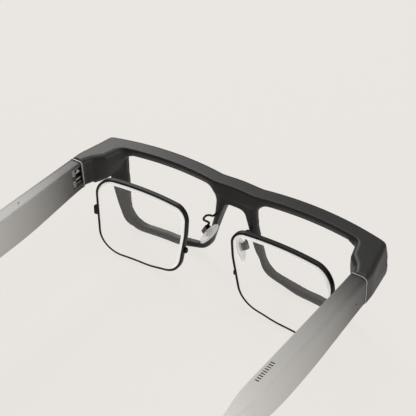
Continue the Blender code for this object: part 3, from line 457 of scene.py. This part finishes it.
def endpiece_plan():
    """Plan of the left end piece: out from the brow, back to the seam, and round its inner side."""
    side = HALF_WIDTH
    return rounded([(57.0, -1.0, 0.0), (side - 9.3, 0.6, 0.0), (side + 1.0, 1.8, 0.0),
                    (side + 1.0, ENDPIECE_LENGTH, 0.2), (TEMPLE_INNER, ENDPIECE_LENGTH, 0.2),
                    (TEMPLE_INNER, ENDPIECE_LENGTH - 2.0, 1.5), (side - 8.6, ENDPIECE_LENGTH - 5.4, 3.0),
                    (side - 12.9, ENDPIECE_LENGTH - 10.2, 4.0), (side - 15.7, 2.6, 1.0), (57.0, 2.2, 0.0)], 8)


def plan_envelope(taper):
    """Plan of the whole front: its sides draw in by the taper towards rounded front corners."""
    side = HALF_WIDTH
    half = [(side - 16.3, -9.5, 0.0), (side - taper, -0.9, 3.0), (side, TAPER_END, 20.0), (side, 60.0, 0.0)]
    return rounded([(-x, y, r) for x, y, r in half[::-1]] + half, 8)


def build_front():
    """The front as one distance field: a curved, leaning plate of the front's outline, deeper at the
    brow, joined with fillets to the end pieces and cut by the lens openings and seats."""
    step = 0.42
    low = (-76.0, -9.2, -1.3)
    high = (76.0, 25.0, 47.4)
    xs, ys, ds = (np.arange(a, b, step) for a, b in zip(low, high))
    half_x = np.abs(xs)
    X2, D2 = np.meshgrid(half_x, ds, indexing="ij")
    P2, Q2 = np.meshgrid(half_x, ys, indexing="ij")
    side_view = outline_distance(X2, D2, front_outline())[:, None, :]
    opening = outline_distance(X2, D2, rounded(opening_corners(), 10))[:, None, :]
    seat = np.maximum(opening - 1.5, OPENING_TOP - 0.5 - D2[:, None, :])
    recess = outline_distance(X2, D2, rounded(insert_corners(), 10))[:, None, :] - 0.3
    plan, plan_low = (outline_distance(P2, Q2, plan_envelope(t))[:, :, None] for t in (TAPER, TAPER_LOW))
    end_plan = outline_distance(P2, Q2, endpiece_plan())[:, :, None]
    X = half_x[:, None, None]
    Y = ys[None, :, None]
    D = ds[None, None, :]
    plan = plan + (plan_low - plan) * np.clip(D / 9.0, 0.0, 1.0)
    w = (Y - base_y(X, D)) * 0.97
    rims = rounded_meet(side_view, np.abs(w - (BACK - RIM_DEPTH / 2)) - RIM_DEPTH / 2, 0.7)
    brow_plate = np.abs(w - (BACK - BROW_DEPTH / 2)) - BROW_DEPTH / 2
    brow = rounded_meet(rounded_meet(side_view, brow_plate, 1.1), D - SHOULDER, 1.5)
    body = soft_join(rims, brow, 1.2)
    floor = np.interp(Y, [0.0, 20.0], [12.9, ENDPIECE_HEIGHT])
    ends = rounded_meet(rounded_meet(end_plan, D - floor, 2.0), -D, 2.6)
    body = soft_join(body, ends, 2.0)
    crown = np.interp(Y, [-2.0, 6.0, 20.0], [1.2, 2.0, 2.4])    # outer top edge's radius grows to the seam
    body = rounded_meet(body, plan, 1.0)
    body = np.maximum(body, rounded_meet(plan, -D, crown))
    body = np.maximum(body, -D)
    body = np.maximum(body, D - FRONT_HEIGHT)
    body = np.maximum(body, Y - ENDPIECE_LENGTH)
    body = soft_cut(body, opening, 0.5)
    body = soft_cut(body, np.maximum(seat, w - BACK + FLANGE), 0.3)
    body = soft_cut(body, np.maximum(recess, BACK + 0.25 - w), 4.0)
    slot = np.maximum(np.maximum(np.abs(X - HINGE[0]) - 0.75, 18.0 - Y), np.abs(D - 6.0) - 4.85)
    body = np.maximum(body, -slot)
    return skin(body, low, step)


_points, _faces = build_front()
FRONT = make_piece("front_shell", _points, outward(_points, _faces.tolist()), FRAME_FINISH, "front",
                   ["front_frame"], sharp=None)


# ---- temples ---------------------------------------------------------------------------------
def section(inner, outer, top, bottom, radii, per_corner=8):
    """Rings of a rounded-rectangle section; every side and the four corner radii are arrays along
    the path. Corners run inner-top, outer-top, outer-bottom, inner-bottom."""
    angle = np.linspace(0, math.pi / 2, per_corner)
    rings = []
    places = ((inner, top, 1, 1, math.pi), (outer, top, -1, 1, 1.5 * math.pi),
              (outer, bottom, -1, -1, 0.0), (inner, bottom, 1, -1, 0.5 * math.pi))
    for (x, d, sx, sd, turn), radius in zip(places, radii):
        cx = (x + sx * radius)[:, None]
        cd = (d + sd * radius)[:, None]
        rings.append(np.stack([cx + radius[:, None] * np.cos(turn + angle),
                               cd + radius[:, None] * np.sin(turn + angle)], axis=-1))
    return np.concatenate(rings, axis=1)


def inner_face(y):
    """Temple's inner face: swells to the speaker and draws in to the ear tip."""
    return np.interp(y, [TEMPLE_FRONT, 32.0, SWELL_Y, SHELL_END, 200.0],
                     [TEMPLE_INNER, TEMPLE_INNER, TEMPLE_INNER - TEMPLE_SWELL, TEMPLE_INNER + 1.75,
                      TEMPLE_INNER + 1.75])


def outer_face(y):
    return np.interp(y, [TEMPLE_FRONT, SWELL_Y, SHELL_END, 200.0],
                     [HALF_WIDTH, HALF_WIDTH, HALF_WIDTH - 1.75, HALF_WIDTH - 1.75])


def bottom_edge(y):
    """Temple's lower edge: a belly under the battery, eased with a moving average."""
    dense = np.linspace(0, 200, 2001)
    line = np.interp(dense, [TEMPLE_FRONT, 60.0, 84.0, 104.0, SHELL_END, 200.0],
                     [13.6, 17.0, 17.0, 12.8, 12.2, 12.2])
    eased = np.convolve(np.pad(line, 90, mode="edge"), np.ones(181) / 181, mode="valid")
    return np.interp(y, dense, eased)


def eased_inner(y):
    dense = np.linspace(0, 200, 2001)
    eased = np.convolve(np.pad(inner_face(dense), 50, mode="edge"), np.ones(101) / 101, mode="valid")
    return np.maximum(np.interp(y, dense, eased), inner_face(y) - 0.05)


def temple_rings(start, end, count):
    """Rings along a temple, each at one y. The ends close on a small rounding."""
    y = np.concatenate([[start, start, start + 0.12], np.linspace(start + 0.4, end - 0.4, count),
                        [end - 0.12, end, end]])
    pinch = np.concatenate([[0.9, 0.3, 0.08], np.zeros(count), [0.08, 0.3, 0.9]])
    inner, outer = eased_inner(y) + pinch, outer_face(y) - pinch
    top, bottom = 0.0 * y + pinch, bottom_edge(y) - pinch
    grow = [np.full(y.shape, r) for r in (0.9, 2.4, 2.2, 1.0)]
    flat = section(inner, outer, top, bottom, grow)
    ys = np.broadcast_to(y[:, None], flat.shape[:2])
    return np.stack([flat[..., 0], ys, flat[..., 1]], axis=-1)


def closed_tube(rings):
    """Points and faces of rings joined along, with a flat end on each side."""
    rows, columns = rings.shape[:2]
    faces = grid_faces(rows, columns)
    faces.append(list(range(columns)))
    faces.append([(rows - 1) * columns + i for i in range(columns)][::-1])
    return rings.reshape(-1, 3), faces


def solid(name, points, faces):
    """A plain closed mesh that only cuts: it is removed once used."""
    mesh = bpy.data.meshes.new(name)
    faces = outward(points, faces)
    mesh.from_pydata(placed(points).tolist(), [], [tuple(f) for f in faces])
    mesh.update()
    made = bpy.data.objects.new(name, mesh)
    bpy.context.scene.collection.objects.link(made)
    return made


def block(x, y, depth, count=1, pitch=0.0):
    """Boxes between the pairs x, y and depth, repeated along y at a pitch."""
    unit = np.array([[i, j, k] for i in (0, 1) for j in (0, 1) for k in (0, 1)], dtype=float)
    size = np.array([x[1] - x[0], y[1] - y[0], depth[1] - depth[0]])
    one = unit * size + np.array([x[0], y[0], depth[0]])
    points = np.concatenate([one + np.array([0.0, pitch * i, 0.0]) for i in range(count)])
    quads = [[0, 1, 3, 2], [4, 6, 7, 5], [0, 4, 5, 1], [2, 3, 7, 6], [0, 2, 6, 4], [1, 5, 7, 3]]
    return points, [[v + 8 * i for v in q] for i in range(count) for q in quads]


def round_hole(centre, radius, length, axis, count=24):
    """A short closed cylinder about one of the datum's axes."""
    turn = np.linspace(0, 2 * math.pi, count, endpoint=False)
    ring = np.stack([np.cos(turn) * radius, np.sin(turn) * radius], axis=1)
    rings = np.zeros((2, count, 3))
    others = [i for i in range(3) if i != axis]
    for end, along in enumerate((-length / 2, length / 2)):
        rings[end][:, others] = ring
        rings[end, :, axis] = along
    return closed_tube(rings + np.array(centre))


def carve(piece, *cutters):
    """Takes cutters out of a piece and keeps the result as its mesh."""
    for index, cutter in enumerate(cutters):
        modifier = piece.modifiers.new("carve_%d" % index, "BOOLEAN")
        modifier.operation = "DIFFERENCE"
        modifier.solver = "EXACT"
        modifier.object = cutter
    depsgraph = bpy.context.evaluated_depsgraph_get()
    mesh = bpy.data.meshes.new_from_object(piece.evaluated_get(depsgraph))
    piece.modifiers.clear()
    piece.data = mesh
    for cutter in cutters:
        bpy.data.objects.remove(cutter, do_unlink=True)
    mesh.shade_smooth()
    mesh.set_sharp_from_angle(angle=math.radians(35.0))
    return piece


SLOT_PITCH = 1.26
SLOTS = 9
_points, _faces = closed_tube(temple_rings(TEMPLE_FRONT, SHELL_END, 90))
_temples = pair("left_temple_skin", _points, _faces, TEMPLE_FINISH, "left_temple",
                ["left_temple_shell", "left_temple_cover"], "frame_plastic")
for _piece, _sign in zip(_temples, (1.0, -1.0)):
    def _across(shape, sign=_sign):
        return shape[0] * np.array([sign, 1.0, 1.0]), shape[1]
    _first = 85.5 - (SLOTS - 1) / 2 * SLOT_PITCH - 0.275
    _cutters = [
        solid("slots", *_across(block((69.3, 71.1), (_first, _first + 0.55), (-1.0, 1.6), SLOTS, SLOT_PITCH))),
        solid("recess", *_across(block((TEMPLE_INNER - 1.0, HINGE[0] + 1.8),
                                       (TEMPLE_FRONT - 1.0, HINGE[1] + 1.8), HINGE_SLOT))),
        solid("side_mic", *_across(round_hole((HALF_WIDTH, 30.6, 7.3), 0.45, 2.0, 0))),
    ]
    if _sign > 0:
        _cutters.append(solid("top_mic", *round_hole((71.4, 60.8, 0.0), 0.45, 2.0, 2)))
    carve(_piece, *_cutters)


def tip_rings():
    """Ear tip: a rounded section carried along a path that runs back and bends down."""
    path = np.array([(TIP_START, 6.1), (124.0, 6.2), (132.0, 8.4), (141.0, 16.0), (148.0, 25.5), (153.2, 40.0)])
    knots = np.concatenate([[0], np.cumsum(np.linalg.norm(np.diff(path, axis=0), axis=1))])
    along = np.linspace(0, knots[-1], 60)
    centre = np.stack([np.interp(along, knots, path[:, i]) for i in (0, 1)], axis=1)
    kernel = np.ones(9) / 9
    padded = np.vstack([np.repeat(centre[:1], 4, axis=0), centre, np.repeat(centre[-1:], 4, axis=0)])
    centre = np.stack([np.convolve(padded[:, i], kernel, mode="valid") for i in (0, 1)], axis=1)
    return centre


def build_tip():
    centre = tip_rings()
    tangent = np.gradient(centre, axis=0)
    tangent /= np.linalg.norm(tangent, axis=1)[:, None]
    tangent[:6] = (1.0, 0.0)
    blend = np.linspace(0, 1, 8)[:, None]
    tangent[6:14] = tangent[6:14] * blend + np.array([1.0, 0.0]) * (1 - blend)
    tangent /= np.linalg.norm(tangent, axis=1)[:, None]
    normal = np.stack([-tangent[:, 1], tangent[:, 0]], axis=1)       # towards the lower side
    share = np.linspace(0, 1, len(centre))
    half_high = np.interp(share, [0, 0.3, 0.8, 1.0], [6.05, 5.8, 5.6, 5.0])
    end = np.sqrt(np.clip(1 - np.clip((share - 0.94) / 0.06, 0, 1) ** 2, 0.02, 1))
    half_high = half_high * end
    inner = np.full(len(centre), TEMPLE_INNER + 1.75) + 1.75 * (1 - end)
    outer = np.full(len(centre), HALF_WIDTH - 1.75) - 1.75 * (1 - end)
    radius = np.minimum(1.5, half_high * 0.9)
    radius = np.minimum(radius, (outer - inner) / 2 * 0.95)
    flat = section(inner, outer, -half_high, half_high, [radius] * 4)
    y = centre[:, None, 0] + normal[:, None, 0] * flat[..., 1]
    d = centre[:, None, 1] + normal[:, None, 1] * flat[..., 1]
    rings = np.stack([flat[..., 0], y, d], axis=-1)
    rings[..., 2] = np.minimum(rings[..., 2], FRONT_HEIGHT)
    return closed_tube(rings)


pair("left_tip_skin", *build_tip(), TIP_FINISH, "left_temple", ["left_ear_tip"], "tip_rubber")


# ---- seam trim -------------------------------------------------------------------------------
def seam_ring():
    """Light edge round the end of each end piece: the temple's section, as a thin band."""
    y = np.array([22.55, 22.55, 23.08, 23.08])
    grow = np.array([-0.4, 0.05, 0.05, -0.4])
    flat = section(TEMPLE_INNER - grow, HALF_WIDTH + grow, -grow, 14.0 + grow,
                   [np.maximum(np.full(4, r) + grow, 0.1) for r in (0.9, 2.3, 2.0, 1.0)])
    ys = np.broadcast_to(y[:, None], flat.shape[:2])
    rings = np.stack([flat[..., 0], ys, flat[..., 1]], axis=-1)
    return rings.reshape(-1, 3), grid_faces(4, flat.shape[1], closed_rows=True)


pair("left_seam_trim", *seam_ring(), SEAM_FINISH, "front", (), "frame_plastic", sharp=30.0)


# ---- display lenses --------------------------------------------------------------------------
def disc(outline, front, back, rings=18, crown_front=0.0, crown_back=0.0, shoulder=None, bevel=0.0):
    """A lens: from the middle out to the outline on both faces. Faces follow the lens field, each
    with its own crown, a paraboloid over the outline. The edge goes straight back to the shoulder
    and from there slopes in by the bevel to the back face. Returns points, faces, and the number of
    faces before the wall, and before the bevel."""
    shoulder = back if shoulder is None else shoulder
    middle = outline.mean(axis=0)
    share = np.linspace(0.0, 1.0, rings + 1)[1:]
    count = len(outline)
    small = outline - normals_of(outline) * bevel
    bow = (1 - share ** 2)[:, None]

    def face(rim, y, crown):
        flat = middle + (rim - middle)[None] * share[:, None, None]
        return np.stack([flat[..., 0], base_y(flat[..., 0], flat[..., 1]) + y - crown * bow, flat[..., 1]], axis=-1)

    edge = np.stack([outline[:, 0], base_y(outline[:, 0], outline[:, 1]) + shoulder, outline[:, 1]], axis=-1)
    pole = base_y(middle[0], middle[1])
    points = np.vstack([face(outline, front, crown_front).reshape(-1, 3),
                        face(small, back, crown_back).reshape(-1, 3),
                        edge, [[middle[0], pole + front - crown_front, middle[1]]],
                        [[middle[0], pole + back - crown_back, middle[1]]]])
    offset = rings * count
    faces = grid_faces(rings, count) + [f[::-1] for f in grid_faces(rings, count, start=offset)]
    i = np.arange(count)
    j = (i + 1) % count
    last = (rings - 1) * count
    rim = 2 * offset
    pole = rim + count
    poles = [[pole, b, a] for a, b in zip(i, j)] + [[pole + 1, offset + a, offset + b] for a, b in zip(i, j)]
    wall = [[last + a, last + b, rim + b, rim + a] for a, b in zip(i, j)]
    band = [[rim + a, rim + b, offset + last + b, offset + last + a] for a, b in zip(i, j)]
    first = len(faces) + len(poles)
    return points, faces + poles + wall + band, (first, first + len(wall))


_outline = evened(rounded(opening_corners(), 12), 160)
_outline = _outline + normals_of(_outline) * 1.2
_outline[:, 1] = np.maximum(_outline[:, 1], OPENING_TOP - 0.25)
_points, _faces, _ = disc(_outline, BACK - FLANGE - 2.4, BACK - FLANGE - 0.25, crown_front=0.3, crown_back=0.3)
pair("left_display_glass", _points, _faces, DISPLAY_GLASS, "front", ["left_display_lens"], "display_glass")


# ---- inserts ---------------------------------------------------------------------------------
def band_along(outline, profile, offset_y):
    """A closed band: a small profile of (across, along y) points carried round an outline, where
    across is measured outwards from it."""
    normal = normals_of(outline)
    across, along = profile[:, 0], profile[:, 1]
    flat = outline[:, None, :] + normal[:, None, :] * across[None, :, None]
    y = base_y(flat[..., 0], flat[..., 1]) + offset_y + along[None, :]
    rings = np.stack([flat[..., 0], y, flat[..., 1]], axis=-1)
    return rings.reshape(-1, 3), grid_faces(rings.shape[0], rings.shape[1], closed_rows=True)


def rounded_bar(width, depth, radius, per_corner=5):
    """Section of a flat bar with rounded edges: across from -width to 0, along y from 0 to depth."""
    return rounded([(-width, 0.0, radius), (0.0, 0.0, radius),
                    (0.0, depth, radius), (-width, depth, radius)], per_corner)


INSERT_LINE = evened(rounded(insert_corners(), 16), 260)
_points, _faces = band_along(INSERT_LINE, rounded_bar(INSERT_FACE, INSERT_DEPTH - 0.5, 0.22), INSERT_FRONT + 0.5)
pair("left_insert_band", _points, _faces, BLACK_METAL, "left_insert",
     ["left_insert_rim"], "black_metal", sharp=50.0)

_inner = INSERT_LINE - normals_of(INSERT_LINE) * (INSERT_FACE + 0.02)
_points, _faces, (_wall, _bevel) = disc(_inner, INSERT_FRONT + 0.6, INSERT_FRONT + INSERT_DEPTH + 0.85, crown_front=0.6,
                                        crown_back=1.8, shoulder=INSERT_FRONT + INSERT_DEPTH - 0.05, bevel=0.85)
_lenses = pair("left_insert_glass", _points, _faces, [INSERT_GLASS, LENS_EDGE_PAINTED_HIGHLIGHT, LENS_WALL], "left_insert", ["left_insert_lens"],
               "insert_glass")
for _lens in _lenses:
    _index = np.zeros(len(_lens.data.polygons), dtype=np.int32)
    _index[_wall:_bevel] = 2
    _index[_bevel:] = 1
    _lens.data.polygons.foreach_set("material_index", _index)
    _lens.data.update()


def lug(x, depth, height, name):
    """A small tab on the insert's rim, rounded at its outer corners."""
    root, end = x
    outline = rounded([(root, depth - height / 2, 0.05), (end, depth - height / 2, 0.45),
                       (end, depth + height / 2, 0.45), (root, depth + height / 2, 0.05)], 6)
    rows = []
    for y, shrink in ((0.2, 0.12), (0.3, 0.0), (1.6, 0.0), (1.7, 0.12)):
        flat = outline + (outline.mean(axis=0) - outline) * shrink / 1.2
        rows.append(np.stack([flat[:, 0], base_y(flat[:, 0], flat[:, 1]) + INSERT_FRONT + y, flat[:, 1]], axis=-1))
    pair(name, *closed_tube(np.array(rows)), BLACK_METAL, "left_insert", (), "black_metal")


lug((60.9, 63.8), 23.7, 4.6, "left_magnet_tab")
lug((14.6, 12.5), 27.0, 2.4, "left_nose_tab")


# ---- nose pads -------------------------------------------------------------------------------
PAD_PIVOT = np.array([10.4, 9.4, 21.8])


def pad_axes():
    """Columns: through the pad, along its width, up its height, in (x, y, depth)."""
    turn = (Matrix.Rotation(math.radians(-20.0), 3, "Z") @ Matrix.Rotation(math.radians(-22.0), 3, "Y")
            @ Matrix.Rotation(math.radians(22.0), 3, "X"))
    axes = np.array(turn)
    return axes * np.array([[1.0], [1.0], [-1.0]])


PAD_AXES = pad_axes()


def in_pad(points):
    """Local (through, along, up) points at the clasp, as (x, y, depth)."""
    return points @ PAD_AXES.T + PAD_PIVOT


def ellipsoid(half, centre, power=2.4, rows=26, columns=40, flat=0.0):
    """A soft-cornered ellipsoid: latitude and longitude with a superellipse power; its -through side
    is pressed flatter by flat."""
    v = np.linspace(-math.pi / 2, math.pi / 2, rows)[1:-1]
    u = np.linspace(0, 2 * math.pi, columns, endpoint=False)
    V, U = np.meshgrid(v, u, indexing="ij")
    def shape(t, p):
        return np.sign(t) * np.abs(t) ** (2.0 / p)
    along = shape(np.cos(V), power) * np.cos(U)
    up = shape(np.cos(V), power) * np.sin(U)
    through = shape(np.sin(V), 2.0)
    through = np.where(through < 0, through * (1 - flat), through)
    points = np.stack([through * half[0], along * half[1], up * half[2]], axis=-1)
    poles = np.array([[-half[0] * (1 - flat), 0, 0], [half[0], 0, 0]])
    count = len(v)
    faces = grid_faces(count, columns)
    i = np.arange(columns)
    j = (i + 1) % columns
    base = count * columns
    faces += [[base, b, a] for a, b in zip(i, j)]
    faces += [[base + 1, (count - 1) * columns + a, (count - 1) * columns + b] for a, b in zip(i, j)]
    return np.vstack([points.reshape(-1, 3), poles]) + np.array(centre), faces


_points, _faces = ellipsoid((1.25, 3.7, 6.5), (-2.6, 0.0, -0.2), flat=0.35)
pair("left_pad_skin", in_pad(_points), _faces, SILICONE, "left_pad", ["left_nose_pad"], "silicone", sharp=None)
_points, _faces = ellipsoid((0.28, 1.5, 2.3), (-2.3, 0.0, -0.1), power=4.0, rows=14, columns=28)
pair("left_pad_plate", in_pad(_points), _faces, DARK_STEEL, "left_pad", (), "steel", sharp=None)
_points, _faces = ellipsoid((1.2, 0.6, 0.8), (-1.2, 0.0, 0.0), power=4.0, rows=14, columns=20)
pair("left_pad_stud", in_pad(_points), _faces, DARK_STEEL, "left_pad", (), "steel", sharp=None)


def smooth_path(knots, count):
    """A Catmull-Rom curve through the knots."""
    knots = np.asarray(knots, dtype=float)
    ends = np.vstack([2 * knots[0] - knots[1], knots, 2 * knots[-1] - knots[-2]])
    t = np.linspace(0, len(knots) - 1 - 1e-9, count)
    i = t.astype(int)
    f = (t - i)[:, None]
    a, b, c, d = ends[i], ends[i + 1], ends[i + 2], ends[i + 3]
    return 0.5 * (2 * b + (c - a) * f + (2 * a - 5 * b + 4 * c - d) * f ** 2 + (3 * b - a - 3 * c + d) * f ** 3)


def wire(path, radius, sides=12):
    """A round wire along a path: circles across its direction, kept from twisting by a fixed side."""
    path = np.asarray(path)
    tangent = np.gradient(path, axis=0)
    tangent /= np.linalg.norm(tangent, axis=1)[:, None]
    side = np.cross(tangent, np.array([0.31, 0.2, 0.93]))
    side /= np.linalg.norm(side, axis=1)[:, None]
    other = np.cross(tangent, side)
    turn = np.linspace(0, 2 * math.pi, sides, endpoint=False)
    radius = np.broadcast_to(radius, (len(path),))
    rings = (path[:, None] + radius[:, None, None] * (side[:, None] * np.cos(turn)[None, :, None]
             + other[:, None] * np.sin(turn)[None, :, None]))
    return closed_tube(rings)


_clasp = in_pad(np.array([[0.9, 0.0, 3.4], [0.9, 0.0, 0.7]]))
_root_y = BACK + base_y(9.7, 17.0) - 1.0
_knots = [(9.7, _root_y, 17.0), (9.7, _root_y + 2.8, 16.8), (10.1, _root_y + 5.0, 15.2), (10.5, _root_y + 7.2, 14.4),
          (10.6, _root_y + 8.6, 15.6), _clasp[0], _clasp[1]]
pair("left_pad_wire", *wire(smooth_path(_knots, 70), 0.5), BLACK_METAL, "front",
     ["left_nose_pad_arm"], "black_metal", sharp=None)


def clasp_shape():
    """A small U-shaped clasp: a rounded U outline in the pad's across/along plane, carried up its
    height with eased ends."""
    outer, inner, open_end = 1.6, 0.95, -1.2
    outline = rounded([(open_end, -outer, 0.3), (1.2, -outer, 0.8), (1.2, outer, 0.8), (open_end, outer, 0.3),
                       (open_end, inner, 0.15), (0.55, inner, 0.3), (0.55, -inner, 0.3), (open_end, -inner, 0.15)], 5)
    rows = []
    for up, ease in ((-1.7, 0.15), (-1.55, 0.0), (1.55, 0.0), (1.7, 0.15)):
        flat = outline.copy()
        flat[:, 0] = np.where(flat[:, 0] > 0, flat[:, 0] - ease * 0.6, flat[:, 0] + ease * 0.6)
        rows.append(np.stack([flat[:, 0], flat[:, 1], np.full(len(flat), up)], axis=-1))
    return closed_tube(np.array(rows))


_points, _faces = clasp_shape()
pair("left_pad_clasp", in_pad(_points), _faces, DARK_STEEL, "front", (), "steel", sharp=50.0)

# ---- carried-over nodes ----------------------------------------------------------------------
CARRIED = {
    "light_engine": BLACK_PLASTIC, "endpiece_cover": FRAME_FINISH, "frame_magnet": MAGNET_FINISH,
    "hinge_front_leaf": BRIGHT_STEEL, "hinge_temple_leaf": BRIGHT_STEEL, "upper_hinge_pin": BRIGHT_STEEL,
    "lower_hinge_pin": BRIGHT_STEEL, "hinge_flex_coil": FLEX_FINISH, "nose_pad_screw": DARK_STEEL,
    "battery": FOIL_FINISH, "touch_sensor": FLEX_FINISH, "circuit_board": BOARD_FINISH,
    "speaker": BLACK_PLASTIC, "speaker_mesh": MESH_FINISH, "microphone": GOLD_FINISH,
    "front_flex_cable": FLEX_FINISH,
}
for _name, _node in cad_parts.items():
    _plain = _name if _name in CARRIED else _name.split("_", 1)[1]
    if _plain in CARRIED:
        _node.data.materials.clear()
        _node.data.materials.append(CARRIED[_plain])

# ---- floor, light and camera -----------------------------------------------------------------
STUDIO_COLOUR = (0.803, 0.771, 0.737)
FLOOR_REACH = 6.0           # metres from the middle to each side

FLOOR, _tree, _shader = finish("pale_floor", (0.05, 0.0485, 0.046), 0.95, Specular_IOR_Level=0.0)
self_lit(_shader, STUDIO_COLOUR, 0.955)


def build_floor():
    """A wide, flat, pale floor under the glasses."""
    mesh = bpy.data.meshes.new("floor")
    corners = [(x * FLOOR_REACH, y * FLOOR_REACH, 0) for x, y in ((-1, -1), (1, -1), (1, 1), (-1, 1))]
    mesh.from_pydata(corners, [], [(0, 1, 2, 3)])
    mesh.update()
    mesh.materials.append(FLOOR)
    floor = bpy.data.objects.new("floor", mesh)
    bpy.context.scene.collection.objects.link(floor)


build_floor()


def soft_box(name, place, aim, size, power, colour=(1.0, 1.0, 1.0)):
    light = bpy.data.lights.new(name, "AREA")
    light.shape = "RECTANGLE"
    light.size, light.size_y = size
    light.energy = power
    light.color = colour
    made = bpy.data.objects.new(name, light)
    made.location = place
    made.rotation_euler = (Vector(aim) - Vector(place)).to_track_quat("-Z", "Y").to_euler()
    bpy.context.scene.collection.objects.link(made)
    return made


CENTRE = (0.0, -0.03, 0.02)
soft_box("key_left", (0.70, -0.56, 0.63), (0.07, -0.03, 0.04), (0.34, 0.34), 5.5, (1.0, 0.99, 0.975))
soft_box("overhead", (0.0, -0.25, 1.1), CENTRE, (0.9, 0.7), 7.0)
soft_box("side_right", (-0.95, -0.2, 0.3), CENTRE, (0.5, 0.5), 4.3)

world = bpy.data.worlds.new("studio")
bpy.context.scene.world = world
world.use_nodes = True
world.node_tree.nodes["Background"].inputs["Color"].default_value = (*STUDIO_COLOUR, 1.0)
world.node_tree.nodes["Background"].inputs["Strength"].default_value = 0.12

AZIMUTH, ELEVATION, ROLL = (math.radians(v) for v in (217.04, 36.91, -2.38))
CAMERA_PLACE = (-0.21231, 0.22664, 0.31254)     # metres
SENSOR_WIDTH = 36.0                             # millimetres
FOCAL_LENGTH = 91.5                             # millimetres
_back = Vector((math.sin(AZIMUTH) * math.cos(ELEVATION), -math.cos(AZIMUTH) * math.cos(ELEVATION),
                math.sin(ELEVATION)))
_right = Vector((math.cos(AZIMUTH), math.sin(AZIMUTH), 0.0))
_up = _back.cross(_right)
_turned_right = math.cos(ROLL) * _right + math.sin(ROLL) * _up
_turned_up = -math.sin(ROLL) * _right + math.cos(ROLL) * _up
_matrix = Matrix((_turned_right, _turned_up, _back)).transposed().to_4x4()
_matrix.translation = CAMERA_PLACE
camera = bpy.data.cameras.new("camera")
camera.sensor_width = SENSOR_WIDTH
camera.lens = FOCAL_LENGTH
camera.clip_start = 0.01
camera_object = bpy.data.objects.new("camera", camera)
camera_object.matrix_world = _matrix
bpy.context.scene.collection.objects.link(camera_object)
bpy.context.scene.camera = camera_object
bpy.context.scene.view_settings.view_transform = "Standard"
